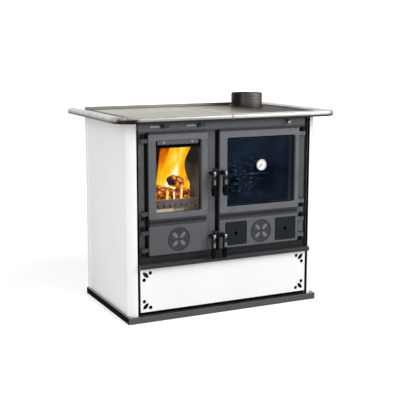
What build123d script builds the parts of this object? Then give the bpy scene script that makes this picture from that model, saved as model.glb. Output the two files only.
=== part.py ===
from build123d import *
import os
from math import cos, sin, radians

os.makedirs("parts", exist_ok=True)

# A wood cookstove: enamelled steel body on a plinth, cast iron front with four doors,
# cast iron hob in a polished rail, flue collar, firebox, oven and a wood drawer.
# Millimetres. X to the right, Y to the back, Z up. The origin is on the floor, in the
# middle of the rail in plan.

# ------------------------------------------------------------------ driving dimensions
# Hob rail: the widest and deepest piece
rail_width = 1028.0
rail_depth = 650.0
rail_top = 857.0
rail_bar_width = 46.0
rail_bar_height = 24.0
rail_corner_radius = 72.0
rail_edge_radius = 9.0
rail_under_radius = 5.0
rail_tip_radius = 20.0
rail_joint_x = -10.0          # where the two rail halves meet at the front
rail_joint_gap = 0.4
bracket_width = 30.0          # six straps under the rail that tie it to the hob
bracket_thickness = 5.0
bracket_reach = 20.0
bracket_inset_x = 114.0       # front straps from the sides of the body
bracket_inset_fore = 130.0    # side straps from the front and the back of the rail
bracket_inset_aft = 162.5

# Body under the rail
side_overhang = 70.0          # rail beyond the body on each side
front_overhang = 75.0
rear_overhang = 42.0
plinth_height = 27.0
plinth_lip = 9.0              # plinth beyond the body
plinth_lip_rear = 4.5
plinth_wall = 3.0
plinth_corner_radius = 8.0
column_radius = 35.0          # rounded front corners of the side panels
column_gap = 3.0              # folded column edge to the carcass wall
panel_sheet = 2.5
panel_flange = 20.0           # folded edge at the back
column_return = 24.0          # folded edge behind the front corner
panel_recess = 3.0            # pressed field of the side panel
panel_recess_front = 60.0     # from the front face to the pressed field
panel_recess_back = 34.0
panel_recess_slope = 12.0
carcass_sheet = 3.0
back_sheet = 2.0
vent_rows = 5                 # air slots of the back panel, two groups
vent_pitch = 22.0
vent_length = 180.0
vent_height = 6.0
vent_inset = 222.0            # middle of each group from the side of the body
vent_z = 140.0

# Hob
hob_drop = 7.0                # hob surface below the rail top
hob_to_rail = 2.0
hob_rear_gap = 33.0           # rail tips beyond the back edge of the hob
hob_border = 46.0             # rim of the hob frame beside the plates
hob_border_front = 31.0
hob_border_back = 30.0
hob_ledge = 12.0              # ledge that carries the plates
hob_plate_thickness = 12.0
plate_clearance = 1.0
plate_joint_x = 0.0
back_rim_height = 12.0
back_rim_thickness = 6.0
back_rim_inset = 26.0
ring_inset_x = 205.0          # middle of the cooking ring from the left and front edges of the plates
ring_inset_y = 251.0
ring_radius = 120.0
ring_thickness = 7.0
ring_seat = 8.0
lid_radius = 75.0
lid_seat = 7.0
lid_rim_thickness = 3.5
lift_pocket_radius = 7.0
lift_pocket_depth = 4.0
lift_pocket_inset = 24.0      # pocket from the joint of the plates
lift_pocket_y = 0.0
round_clearance = 0.5         # round plates in their seats
casting_chamfer = 1.0         # broken top edges of the hob castings

# Flue outlet
flue_inset_x = 90.0           # middle of the flue from the right and back edges of the plates
flue_inset_y = 80.0
collar_radius = 73.5          # takes a 150 mm pipe over it
collar_wall = 3.0
collar_height = 63.0
collar_flange_radius = 84.0
collar_flange = 5.0
collar_bolts_number = 4
collar_bolt_radius = 4.0
collar_bolt_head = 3.5

# Cast front
facade_side_gap = 8.0
facade_recess = 8.0
facade_thickness = 12.0
facade_rim = 2.0              # thin back flange out to the columns
left_hinge_strip = 37.0
right_hinge_strip = 45.0
mullion_x = -65.0             # middle of the post between left and right doors
mullion_gap = 52.0
frieze_height = 49.0
upper_door_height = 353.0
door_row_gap = 27.0
lower_door_height = 124.0
door_lap = 16.0               # lower door over the edge of its opening
opening_margin = 4.0          # opening of an upper door beyond its window
firebox_opening_drop = 33.0   # top of the firebox opening below the top of its window
floor_step = 6.0              # compartment floor below the lower openings
shadow_groove = 10.0
shadow_groove_depth = 6.0
shadow_groove_gap = 2.0       # groove to the door edge
shadow_groove_end = 3.0       # groove ends from the top and bottom of the doors
ledge_gap = 30.0
ledge_height = 20.0
ledge_projection = 24.0
ledge_end = 4.0               # ledge ends short of the column edges

# Doors
door_thickness = 16.0
door_gap = 0.5                # door back to the cast front
door_corner_radius = 9.0
door_edge_chamfer = 3.5
window_chamfer = 3.0
window_corner_radius = 8.0
firebox_stile = 35.0
firebox_top_rail = 28.0
firebox_bottom_rail = 26.0
oven_stile_left = 37.0
oven_stile_right = 26.0
oven_top_rail = 30.0
oven_bottom_rail = 29.0
glass_thickness = 4.0
glass_lap = 7.0               # glass beyond the window, in its rebate
glass_clearance = 0.5
retainer_thickness = 3.0
rope_width = 5.0
rope_depth = 4.0
rope_inset = 9.5              # rope outside the window edge
strip_height = 17.0           # plate across the top of the firebox window
strip_thickness = 3.0
screw_head_radius = 4.5
screw_head_height = 2.0
screw_spacing = 128.0

# Hinges
hinge_offset = 22.0           # pin axis from the door edge
hinge_axis_forward = 10.0     # pin axis in front of the cast front
knuckle_radius = 9.0
knuckle_height = 17.0
knuckle_gap = 0.5
hinge_arm_lap = 5.5           # knuckle arm into the door leaf
pin_radius = 4.0
pin_clearance = 0.05
pin_head_radius = 6.0
pin_head_height = 3.0
pin_head_gap = 0.3
hinge_edge_upper = 1.0        # knuckle pair from the top or bottom of an upper door
hinge_edge_lower = 0.0

# Handles
handle_drop_upper = 174.0     # pivot below the top of an upper door
handle_drop_lower = 62.0
left_pivot_offset = 13.0      # pivot beyond the edge of a left door
right_pivot_offset = 14.0     # pivot inside the edge of a right door
lug_radius = 14.0
spindle_radius = 6.0
hub_radius = 11.0
hub_length = 26.0
cap_radius = 10.0
cap_height = 8.0
cap_round = 6.0
nose_length = 21.0
nose_height = 9.0
nose_thickness = 6.0
lever_width = 6.0
lever_thickness = 8.0
lever_length = 30.0
grip_length = 48.0
grip_radius = 11.5
grip_neck_radius = 8.5
grip_end_round = 3.5
neck_start = 12.0             # top of the bright neck below the pivot
neck_length = 34.0            # neck between the hub and the grip
neck_radius = 10.0
grip_sideways = 1.0
grip_forward = 17.0           # grip axis in front of the door face plus its radius
keeper_width = 18.0
keeper_height = 32.0
keeper_gap = 0.3
keeper_chamfer = 2.0

# Ornaments of the lower doors
rosette_radius = 50.0
rosette_band = 6.0
rosette_relief = 1.8
petal_length = 33.0
petal_width = 15.0
petal_start = 8.0
rosette_boss_radius = 5.0
rosette_dot_circle = 31.0
insert_width = 106.0
insert_height = 102.0
insert_recess = 3.0
insert_thickness = 2.0
insert_spread = 245.0         # between the middles of the two insets
insert_center_shift = 8.0     # pattern to the right of the middle of the door
insert_clearance = 0.6
insert_corner_radius = 6.0

# Air slides and flue damper in the frieze
slide_z_below_top = 22.0
slide_slot_height = 12.0
slide_slot_length = 85.0
slide_slot_depth = 5.0
slide_length = 64.0
slide_height = 9.0
slide_thickness = 2.5
slide_knob_radius = 7.5
slide_knob_length = 12.0
slide_knob_gap = 1.0          # knob in front of the cast front
slide_knob_round = 2.5
slide_neck_radius = 3.75
slide_end_margin = 3.0
slide_inset = 13.0            # left slot from the left edge of the firebox door
slide_pitch = 163.0           # from slot to slot
damper_inset = 56.0           # damper rod from the right edge of the oven door
damper_rod_radius = 4.0
damper_knob_radius = 9.0
damper_knob_length = 24.0
damper_knob_gap = 3.0
damper_knob_round = 5.0
damper_window_width = 50.0
damper_window_height = 26.0
damper_plate_lap = 5.0
damper_plate_thickness = 4.0

# Firebox
brick_thickness = 30.0
brick_height = 298.0
grate_frame_thickness = 12.0
grate_frame_rise = 9.0        # top of the grate frame above the sill of the firebox opening
grate_width = 190.0
grate_depth = 320.0
grate_thickness = 14.0
grate_slots = 9
grate_slot_width = 9.0
grate_clearance = 2.0
guard_height = 42.0
guard_thickness = 10.0
guard_slots = 7
guard_slot_width = 10.0
guard_slot_height = 16.0
guard_slot_rise = 16.0
guard_foot = 30.0
guard_setback = 8.0
pan_wall = 1.5
pan_height = 70.0
pan_side_gap = 12.0
pan_depth = 400.0

# Oven
oven_wall = 2.5
oven_side_gap = 7.0           # oven box from the firebox partition
oven_side_margin = 15.0       # oven box to the left of its opening
oven_duct = 58.0              # gas duct between the oven and the right wall
oven_depth = 430.0
oven_over = 45.0              # gas passage above the oven
oven_under = 30.0             # oven floor below the opening sill
rack_wire_radius = 3.0
rack_bars = 9
rack_gap = 5.0                # rack from the back wall of the oven
rack_side_gap = 14.5          # rack from the side walls: it passes the oven opening
guide_levels = 3
guide_first = 70.0
guide_pitch = 80.0
guide_height = 6.0
guide_depth = 18.0
smoke_box_width = 148.0
smoke_box_depth = 173.5

# Thermometer on the oven door
thermometer_rise = 24.0       # above the middle of the window
thermometer_radius = 25.0
thermometer_depth = 12.0
thermometer_bezel = 3.0
thermometer_stem_radius = 4.0
thermometer_stem_length = 7.5
stem_hole_clearance = 1.0
needle_length = 15.0
needle_tail = 5.0
needle_width = 2.0
needle_thickness = 0.8
needle_gap = 1.2
needle_rest_angle = 225.0     # needle at the cold end of the dial, from +X

# Wood drawer
drawer_side_gap = 6.0
drawer_top_gap = 2.0
drawer_bottom_gap = 15.0
drawer_fold = 18.0
drawer_sheet = 2.0
drawer_box_gap = 16.0         # drawer box from the carcass wall
drawer_box_depth = 440.0
drawer_box_wall = 1.5
drawer_box_inset_top = 8.0
drawer_box_inset_bottom = 12.0
runner_height = 22.0
runner_wall = 2.5
drawer_flange = 11.0          # drawer side flange over the runner
drawer_flange_gap = 0.3
leaf_length = 35.0
leaf_width = 17.0
dot_radius = 8.0
ornament_inset = 26.0         # middle of the corner leaf from both drawer edges
ornament_reach = 21.0         # dots from the leaf, along the drawer edges
ornament_back = 7.0
shield_sheet = 2.0

# ------------------------------------------------------------------ places worked out
hob_top = rail_top - hob_drop
hob_bottom = rail_top - rail_bar_height
body_half = rail_width / 2 - side_overhang
body_front = -rail_depth / 2 + front_overhang
body_back = rail_depth / 2 - rear_overhang
column_inner = body_half - column_radius          # where a column turns back
carcass_half = column_inner - column_gap          # outer face of the carcass walls
carcass_inner = carcass_half - carcass_sheet
back_face = body_back - panel_sheet - back_sheet  # inner face of the back panel

facade_half = carcass_half - facade_side_gap
facade_y = body_front + facade_recess
facade_back = facade_y + facade_thickness
left_door_x0 = -facade_half + left_hinge_strip
left_door_x1 = mullion_x - mullion_gap / 2
right_door_x0 = mullion_x + mullion_gap / 2
right_door_x1 = facade_half - right_hinge_strip
upper_door_z1 = hob_bottom - frieze_height
upper_door_z0 = upper_door_z1 - upper_door_height
lower_door_z1 = upper_door_z0 - door_row_gap
lower_door_z0 = lower_door_z1 - lower_door_height
ledge_top = lower_door_z0 - ledge_gap
ledge_bottom = ledge_top - ledge_height
drawer_z1 = ledge_bottom - drawer_top_gap
drawer_z0 = plinth_height + drawer_bottom_gap
door_back = facade_y - door_gap
door_front = door_back - door_thickness
glass_front = door_front + door_thickness / 2     # front face of the door glasses
glass_back = glass_front + glass_thickness
retainer_back = glass_back + retainer_thickness
rope_outset = rope_inset + rope_width

hob_half = rail_width / 2 - rail_bar_width - hob_to_rail
hob_front = -rail_depth / 2 + rail_bar_width + hob_to_rail
hob_corner_radius = rail_corner_radius - rail_bar_width - hob_to_rail
hob_back = rail_depth / 2 - hob_rear_gap
plates_half = hob_half - hob_border
plates_front = hob_front + hob_border_front
plates_back = hob_back - hob_border_back
plate_bottom = hob_top - hob_plate_thickness
ring_x = -plates_half + ring_inset_x
ring_y = plates_front + ring_inset_y
lift_pocket_x = plate_joint_x - lift_pocket_inset
flue_x = plates_half - flue_inset_x
flue_y = plates_back - flue_inset_y

firebox_window_x = (left_door_x0 + firebox_stile, left_door_x1 - firebox_stile)
firebox_window_z = (upper_door_z0 + firebox_bottom_rail, upper_door_z1 - firebox_top_rail)
oven_window_x = (right_door_x0 + oven_stile_left, right_door_x1 - oven_stile_right)
oven_window_z = (upper_door_z0 + oven_bottom_rail, upper_door_z1 - oven_top_rail)
thermometer_x = (oven_window_x[0] + oven_window_x[1]) / 2
thermometer_z = (oven_window_z[0] + oven_window_z[1]) / 2 + thermometer_rise

firebox_opening_x = (firebox_window_x[0] - opening_margin, firebox_window_x[1] + opening_margin)
firebox_opening_z = (firebox_window_z[0] - opening_margin, firebox_window_z[1] - firebox_opening_drop)
oven_opening_x = (oven_window_x[0] - opening_margin, oven_window_x[1] + opening_margin)
oven_opening_z = (oven_window_z[0] - opening_margin, oven_window_z[1] + opening_margin)
ash_opening_x = (left_door_x0 + door_lap, left_door_x1 - door_lap)
soot_opening_x = (right_door_x0 + door_lap, right_door_x1 - door_lap)
lower_opening_z = (lower_door_z0 + door_lap, lower_door_z1 - door_lap)

compartment_floor_top = lower_opening_z[0] - floor_step
grate_frame_top = firebox_opening_z[0] + grate_frame_rise
grate_frame_bottom = grate_frame_top - grate_frame_thickness
oven_x0 = oven_opening_x[0] - oven_side_margin
oven_x1 = carcass_inner - oven_duct
oven_z0 = oven_opening_z[0] - oven_under
partition_x1 = oven_x0 - oven_side_gap
partition_x0 = partition_x1 - carcass_sheet
oven_z1 = hob_bottom - oven_over
oven_back = facade_back + oven_depth
smoke_x0 = carcass_inner - smoke_box_width
smoke_y0 = back_face - smoke_box_depth
damper_z = hob_bottom - slide_z_below_top
damper_x = right_door_x1 - damper_inset
slide_left_x = left_door_x0 + slide_inset         # left end of each slot
slide_right_x = slide_left_x + slide_pitch

left_pin_x = left_door_x0 - hinge_offset
right_pin_x = right_door_x1 + hinge_offset
pin_y = facade_y - hinge_axis_forward
pin_bore_radius = pin_radius + pin_clearance
upper_pivot_z = upper_door_z1 - handle_drop_upper
lower_pivot_z = lower_door_z1 - handle_drop_lower
left_pivot_x = left_door_x1 + left_pivot_offset
right_pivot_x = right_door_x0 + right_pivot_offset


# ------------------------------------------------------------------ shared small builders
def front_plane(y):
    """An upright plane that faces the front: X stays X, the sketch's Y is height."""
    return Plane(origin=(0, y, 0), x_dir=(1, 0, 0), z_dir=(0, -1, 0))


def block(x, y, z, mode=Mode.ADD):
    """A plain block between two limits along each axis."""
    with Locations(((x[0] + x[1]) / 2, (y[0] + y[1]) / 2, (z[0] + z[1]) / 2)):
        Box(x[1] - x[0], y[1] - y[0], z[1] - z[0], mode=mode)


def upright_panel(x, z, y_back, thickness, radius, mode=Mode.ADD):
    """A panel with rounded corners, standing with its back at y_back."""
    with BuildSketch(front_plane(y_back)) as outline:
        with Locations(((x[0] + x[1]) / 2, (z[0] + z[1]) / 2)):
            RectangleRounded(x[1] - x[0], z[1] - z[0], radius)
    extrude(outline.sketch, amount=thickness, mode=mode)


def upright_disc(x, z, y_back, thickness, radius, mode=Mode.ADD):
    """A round boss or hole with its axis along Y."""
    with BuildSketch(front_plane(y_back)) as outline:
        with Locations((x, z)):
            Circle(radius)
    extrude(outline.sketch, amount=thickness, mode=mode)


def standing_disc(x, y, z0, height, radius, mode=Mode.ADD):
    """A round pin, boss or hole with its axis along Z."""
    with BuildSketch(Plane.XY.offset(z0)) as outline:
        with Locations((x, y)):
            Circle(radius)
    extrude(outline.sketch, amount=height, mode=mode)


# ------------------------------------------------------------------ base
with BuildPart() as plinth:
    plinth_x = body_half + plinth_lip
    plinth_y0 = body_front - plinth_lip
    plinth_y1 = body_back + plinth_lip_rear
    with BuildSketch():
        with Locations((0, (plinth_y0 + plinth_y1) / 2)):
            RectangleRounded(2 * plinth_x, plinth_y1 - plinth_y0, plinth_corner_radius)
    extrude(amount=plinth_height)
    chamfer(plinth.edges().group_by(Axis.Z)[-1], length=plinth_wall / 2)
    block(
        (-plinth_x + plinth_wall, plinth_x - plinth_wall),
        (plinth_y0 + plinth_wall, plinth_y1 - plinth_wall),
        (0, plinth_height - plinth_wall),
        Mode.SUBTRACT,
    )
plinth.part.label = "plinth"
export_step(plinth.part, "parts/plinth.step")

# ------------------------------------------------------------------ side panels
# One folded and enamelled sheet a side: back flange, pressed field, rounded front column
# and a return edge behind it.
with BuildPart() as side_panel_left:
    field_y0 = body_front + panel_recess_front
    field_y1 = body_back - panel_recess_back
    column_inside = column_radius - panel_sheet
    column_inside_y = body_front + column_radius - (column_inside**2 - panel_sheet**2) ** 0.5
    with BuildSketch(Plane.XY.offset(plinth_height)):
        with BuildLine():
            outside = Polyline(
                (-body_half + panel_flange, body_back),
                (-body_half, body_back),
                (-body_half, field_y1 + panel_recess_slope),
                (-body_half + panel_recess, field_y1),
                (-body_half + panel_recess, field_y0),
                (-body_half, field_y0 - panel_recess_slope),
                (-body_half, body_front + column_radius),
            )
            corner = RadiusArc(outside @ 1, (-column_inner, body_front), -column_radius)
            turned = Line(corner @ 1, (-column_inner, body_front + column_return))
            lip = Line(turned @ 1, (-column_inner - panel_sheet, body_front + column_return))
            inner_turn = Line(lip @ 1, (-column_inner - panel_sheet, column_inside_y))
            inner_corner = RadiusArc(
                inner_turn @ 1,
                (-body_half + panel_sheet, body_front + column_radius),
                column_inside,
            )
            Polyline(
                inner_corner @ 1,
                (-body_half + panel_sheet, field_y0 - panel_recess_slope),
                (-body_half + panel_sheet + panel_recess, field_y0),
                (-body_half + panel_sheet + panel_recess, field_y1),
                (-body_half + panel_sheet, field_y1 + panel_recess_slope),
                (-body_half + panel_sheet, body_back - panel_sheet),
                (-body_half + panel_flange, body_back - panel_sheet),
                outside @ 0,
            )
        make_face()
    extrude(amount=hob_bottom - plinth_height)
side_panel_left.part.label = "side_panel_left"
export_step(side_panel_left.part, "parts/side_panel_left.step")

with BuildPart() as side_panel_right:
    mirror(side_panel_left.part, about=Plane.YZ)
side_panel_right.part.label = "side_panel_right"
export_step(side_panel_right.part, "parts/side_panel_right.step")

# ------------------------------------------------------------------ back panel
with BuildPart() as back_panel:
    block(
        (-body_half + panel_sheet, body_half - panel_sheet),
        (back_face, back_face + back_sheet),
        (plinth_height, hob_bottom),
    )
    with BuildSketch(front_plane(back_face + back_sheet)):
        for vent_side in (-1, 1):
            with Locations((vent_side * (body_half - vent_inset), vent_z)):
                with GridLocations(0, vent_pitch, 1, vent_rows):
                    SlotOverall(vent_length, vent_height)
    extrude(amount=back_sheet, mode=Mode.SUBTRACT)
back_panel.part.label = "back_panel"
export_step(back_panel.part, "parts/back_panel.step")

# ------------------------------------------------------------------ carcass
with BuildPart() as carcass_walls:
    for wall_side in (-1, 1):
        block(
            sorted((wall_side * carcass_inner, wall_side * carcass_half)),
            (facade_back, back_face),
            (plinth_height, hob_bottom),
        )
carcass_walls.part.label = "carcass_walls"
export_step(carcass_walls.part, "parts/carcass_walls.step")

with BuildPart() as drawer_heat_shield:
    block(
        (-carcass_inner, carcass_inner),
        (facade_back, back_face),
        (ledge_bottom + drawer_top_gap, ledge_bottom + drawer_top_gap + shield_sheet),
    )
drawer_heat_shield.part.label = "drawer_heat_shield"
export_step(drawer_heat_shield.part, "parts/drawer_heat_shield.step")

with BuildPart() as compartment_floor:
    block(
        (-carcass_inner, carcass_inner),
        (facade_back, back_face),
        (compartment_floor_top - carcass_sheet, compartment_floor_top),
    )
compartment_floor.part.label = "compartment_floor"
export_step(compartment_floor.part, "parts/compartment_floor.step")

# ------------------------------------------------------------------ cast iron front
door_rows = (
    ("upper", upper_door_z0, upper_door_z1, hinge_edge_upper),
    ("lower", lower_door_z0, lower_door_z1, hinge_edge_lower),
)


def fixed_knuckles(z0, z1, edge):
    """Lower ends of the two knuckles that the cast front has for one door."""
    return (z1 - edge - knuckle_height, z0 + edge)


with BuildPart() as front_frame:
    block((-facade_half, facade_half), (facade_y, facade_back), (ledge_bottom, hob_bottom))
    block(
        (-column_inner, column_inner),
        (facade_back - facade_rim, facade_back),
        (ledge_bottom, hob_bottom),
    )
    for opening_x, opening_z in (
        (firebox_opening_x, firebox_opening_z),
        (oven_opening_x, oven_opening_z),
        (ash_opening_x, lower_opening_z),
        (soot_opening_x, lower_opening_z),
    ):
        upright_panel(opening_x, opening_z, facade_back, facade_thickness, door_corner_radius, Mode.SUBTRACT)
    # shadow grooves on the hinge side of the left doors and beside the post
    for groove_door_x in (left_door_x0, right_door_x0):
        groove_x = groove_door_x - shadow_groove_gap - shadow_groove
        block(
            (groove_x, groove_x + shadow_groove),
            (facade_y, facade_y + shadow_groove_depth),
            (lower_door_z0 + shadow_groove_end, upper_door_z1 - shadow_groove_end),
            Mode.SUBTRACT,
        )
    # hinge knuckles, each on a web
    for row_name, row_z0, row_z1, row_edge in door_rows:
        for knuckle_x in (left_pin_x, right_pin_x):
            for knuckle_z in fixed_knuckles(row_z0, row_z1, row_edge):
                standing_disc(knuckle_x, pin_y, knuckle_z, knuckle_height, knuckle_radius)
                block(
                    (knuckle_x - knuckle_radius, knuckle_x + knuckle_radius),
                    (pin_y, facade_y + facade_rim),
                    (knuckle_z, knuckle_z + knuckle_height),
                )
                standing_disc(knuckle_x, pin_y, knuckle_z, knuckle_height, pin_bore_radius, Mode.SUBTRACT)
    # slots of the two air slides and the hole of the damper rod
    with BuildSketch(front_plane(facade_y + slide_slot_depth)):
        for slot_x in (slide_left_x, slide_right_x):
            with Locations((slot_x + slide_slot_length / 2, damper_z)):
                Rectangle(slide_slot_length, slide_slot_height)
    extrude(amount=slide_slot_depth, mode=Mode.SUBTRACT)
    damper_bore_radius = damper_rod_radius + pin_clearance
    upright_disc(damper_x, damper_z, facade_back, facade_thickness, damper_bore_radius, Mode.SUBTRACT)
front_frame.part.label = "front_frame"
export_step(front_frame.part, "parts/front_frame.step")

# ------------------------------------------------------------------ ledge moulding
with BuildPart() as ledge_trim:
    ledge_half = column_inner - ledge_end
    ledge_front = body_front - ledge_projection
    with BuildSketch(Plane.YZ.offset(-ledge_half)):
        with BuildLine():
            nose = Polyline(
                (body_front - keeper_gap, ledge_bottom),
                (ledge_front + ledge_height / 4, ledge_bottom),
                (ledge_front, ledge_bottom + ledge_height / 4),
                (ledge_front, ledge_top - ledge_height / 3),
                (ledge_front + ledge_height / 3, ledge_top),
                (body_front - keeper_gap, ledge_top),
                close=True,
            )
        make_face()
    extrude(amount=2 * ledge_half)
    block((-facade_half, facade_half), (body_front - keeper_gap, facade_y), (ledge_bottom, ledge_top))
ledge_trim.part.label = "ledge_trim"
export_step(ledge_trim.part, "parts/ledge_trim.step")

# ------------------------------------------------------------------ hinge pins
with BuildPart() as hinge_pins:
    for row_name, row_z0, row_z1, row_edge in door_rows:
        upper_z, lower_z = fixed_knuckles(row_z0, row_z1, row_edge)
        pin_runs = (
            (upper_z - knuckle_gap - knuckle_height, upper_z + knuckle_height),
            (lower_z, lower_z + 2 * knuckle_height + knuckle_gap),
        )
        for pin_x in (left_pin_x, right_pin_x):
            for pin_z0, pin_z1 in pin_runs:
                standing_disc(pin_x, pin_y, pin_z0, pin_z1 + pin_head_gap - pin_z0, pin_radius)
                standing_disc(pin_x, pin_y, pin_z1 + pin_head_gap, pin_head_height, pin_head_radius)
hinge_pins.part.label = "hinge_pins"
export_step(hinge_pins.part, "parts/hinge_pins.step")

# ------------------------------------------------------------------ latch keepers
# Two blocks on the post that the noses of the hanging handles close against.
with BuildPart() as latch_keepers:
    keeper_x = (left_pivot_x + right_pivot_x) / 2
    for keeper_z in (upper_pivot_z, lower_pivot_z):
        block(
            (keeper_x - keeper_width / 2, keeper_x + keeper_width / 2),
            (door_front, facade_y),
            (keeper_z - keeper_height / 2, keeper_z + keeper_height / 2),
        )
    chamfer(latch_keepers.edges().group_by(Axis.Y)[0], length=keeper_chamfer)
latch_keepers.part.label = "latch_keepers"
export_step(latch_keepers.part, "parts/latch_keepers.step")

# ------------------------------------------------------------------ firebox
with BuildPart() as firebox_partition:
    block(
        (partition_x0, partition_x1),
        (facade_back, back_face),
        (compartment_floor_top, oven_z1),
    )
firebox_partition.part.label = "firebox_partition"
export_step(firebox_partition.part, "parts/firebox_partition.step")

with BuildPart() as grate_frame:
    hearth_x = (firebox_opening_x[0] + firebox_opening_x[1]) / 2
    hearth_y = (facade_back + back_face) / 2
    block(
        (-carcass_inner, partition_x0),
        (facade_back, back_face),
        (grate_frame_bottom, grate_frame_top),
    )
    block(
        (hearth_x - grate_width / 2, hearth_x + grate_width / 2),
        (hearth_y - grate_depth / 2, hearth_y + grate_depth / 2),
        (grate_frame_bottom + grate_frame_thickness / 2, grate_frame_top),
        Mode.SUBTRACT,
    )
    block(
        (hearth_x - grate_width / 2 + hob_ledge, hearth_x + grate_width / 2 - hob_ledge),
        (hearth_y - grate_depth / 2 + hob_ledge, hearth_y + grate_depth / 2 - hob_ledge),
        (grate_frame_bottom, grate_frame_top),
        Mode.SUBTRACT,
    )
grate_frame.part.label = "grate_frame"
export_step(grate_frame.part, "parts/grate_frame.step")

with BuildPart() as fire_grate:
    grate_z0 = grate_frame_bottom + grate_frame_thickness / 2
    grate_half_x = grate_width / 2 - grate_clearance
    grate_half_y = grate_depth / 2 - grate_clearance
    block(
        (hearth_x - grate_half_x, hearth_x + grate_half_x),
        (hearth_y - grate_half_y, hearth_y + grate_half_y),
        (grate_z0, grate_z0 + grate_thickness),
    )
    with BuildSketch(Plane.XY.offset(grate_z0)):
        with Locations((hearth_x, hearth_y)):
            with GridLocations(2 * grate_half_x / grate_slots, 0, grate_slots, 1):
                SlotOverall(2 * grate_half_y - 2 * hob_ledge, grate_slot_width, rotation=90)
    extrude(amount=grate_thickness, mode=Mode.SUBTRACT)
fire_grate.part.label = "fire_grate"
export_step(fire_grate.part, "parts/fire_grate.step")

with BuildPart() as firebrick_lining:
    brick_top = grate_frame_top + brick_height
    back_brick_y = back_face - brick_thickness
    brick_z = (grate_frame_top, brick_top)
    left_brick_x = -carcass_inner + brick_thickness
    right_brick_x = partition_x0 - brick_thickness
    block((-carcass_inner, left_brick_x), (facade_back, back_face), brick_z)
    block((right_brick_x, partition_x0), (facade_back, back_face), brick_z)
    back_brick_x = (left_brick_x + grate_clearance, right_brick_x - grate_clearance)
    block(back_brick_x, (back_brick_y, back_face), brick_z)
firebrick_lining.part.label = "firebrick_lining"
export_step(firebrick_lining.part, "parts/firebrick_lining.step")

with BuildPart() as log_guard:
    guard_y = facade_back + guard_setback
    guard_slot_pitch = (firebox_opening_x[1] - firebox_opening_x[0]) / (guard_slots + 1)
    block(
        firebox_opening_x,
        (guard_y, guard_y + guard_thickness),
        (grate_frame_top, grate_frame_top + guard_height),
    )
    block(
        firebox_opening_x,
        (guard_y, guard_y + guard_foot),
        (grate_frame_top, grate_frame_top + guard_thickness / 2),
    )
    with BuildSketch(front_plane(guard_y + guard_thickness)):
        with Locations((hearth_x, grate_frame_top + guard_slot_rise)):
            with GridLocations(guard_slot_pitch, 0, guard_slots, 1):
                SlotOverall(guard_slot_height, guard_slot_width, rotation=90)
    extrude(amount=guard_thickness, mode=Mode.SUBTRACT)
log_guard.part.label = "log_guard"
export_step(log_guard.part, "parts/log_guard.step")

with BuildPart() as ash_pan:
    pan_x = (ash_opening_x[0] + pan_side_gap, ash_opening_x[1] - pan_side_gap)
    pan_y = (facade_back + pan_side_gap, facade_back + pan_side_gap + pan_depth)
    pan_z = (compartment_floor_top, compartment_floor_top + pan_height)
    block(pan_x, pan_y, pan_z)
    block(
        (pan_x[0] + pan_wall, pan_x[1] - pan_wall),
        (pan_y[0] + pan_wall, pan_y[1] - pan_wall),
        (pan_z[0] + pan_wall, pan_z[1]),
        Mode.SUBTRACT,
    )
ash_pan.part.label = "ash_pan"
export_step(ash_pan.part, "parts/ash_pan.step")

# ------------------------------------------------------------------ oven
guide_tops = [oven_z0 + guide_first + level * guide_pitch for level in range(guide_levels)]
with BuildPart() as oven_box:
    block((oven_x0, oven_x1), (facade_back, oven_back), (oven_z0, oven_z1))
    block(
        (oven_x0 + oven_wall, oven_x1 - oven_wall),
        (facade_back, oven_back - oven_wall),
        (oven_z0 + oven_wall, oven_z1 - oven_wall),
        Mode.SUBTRACT,
    )
    for guide_top in guide_tops:
        for guide_x in (
            (oven_x0 + oven_wall, oven_x0 + oven_wall + guide_depth),
            (oven_x1 - oven_wall - guide_depth, oven_x1 - oven_wall),
        ):
            block(
                guide_x,
                (facade_back + guide_first, oven_back - oven_wall),
                (guide_top - guide_height, guide_top),
            )
oven_box.part.label = "oven_box"
export_step(oven_box.part, "parts/oven_box.step")

with BuildPart() as oven_rack:
    rack_x = (oven_x0 + oven_wall + rack_side_gap, oven_x1 - oven_wall - rack_side_gap)
    rack_y = (facade_back + guide_first, oven_back - oven_wall - rack_gap)
    rack_z = guide_tops[1]
    rack_pitch = (rack_x[1] - rack_x[0] - 2 * rack_wire_radius) / (rack_bars + 1)
    block(rack_x, rack_y, (rack_z, rack_z + 2 * rack_wire_radius))
    for bar_gap in range(rack_bars + 1):
        gap_x0 = rack_x[0] + 2 * rack_wire_radius + bar_gap * rack_pitch
        block(
            (gap_x0, gap_x0 + rack_pitch - 2 * rack_wire_radius),
            (rack_y[0] + 2 * rack_wire_radius, rack_y[1] - 2 * rack_wire_radius),
            (rack_z, rack_z + 2 * rack_wire_radius),
            Mode.SUBTRACT,
        )
oven_rack.part.label = "oven_rack"
export_step(oven_rack.part, "parts/oven_rack.step")

# Walls that close off the flue end of the gas passage: over the oven, beside it and behind it.
with BuildPart() as flue_divider:
    block((smoke_x0, carcass_inner), (smoke_y0, smoke_y0 + carcass_sheet), (oven_z1, hob_bottom))
    block((oven_x1, carcass_inner), (smoke_y0, smoke_y0 + carcass_sheet), (oven_z0, oven_z1))
    block((smoke_x0, smoke_x0 + carcass_sheet), (smoke_y0, back_face), (oven_z1, hob_bottom))
    block((smoke_x0, smoke_x0 + carcass_sheet), (oven_back, back_face), (oven_z0, oven_z1))
    upright_panel(
        (damper_x - damper_window_width / 2, damper_x + damper_window_width / 2),
        (damper_z - damper_window_height / 2, damper_z + damper_window_height / 2),
        smoke_y0 + carcass_sheet,
        carcass_sheet,
        damper_plate_lap,
        Mode.SUBTRACT,
    )
flue_divider.part.label = "flue_divider"
export_step(flue_divider.part, "parts/flue_divider.step")

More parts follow.
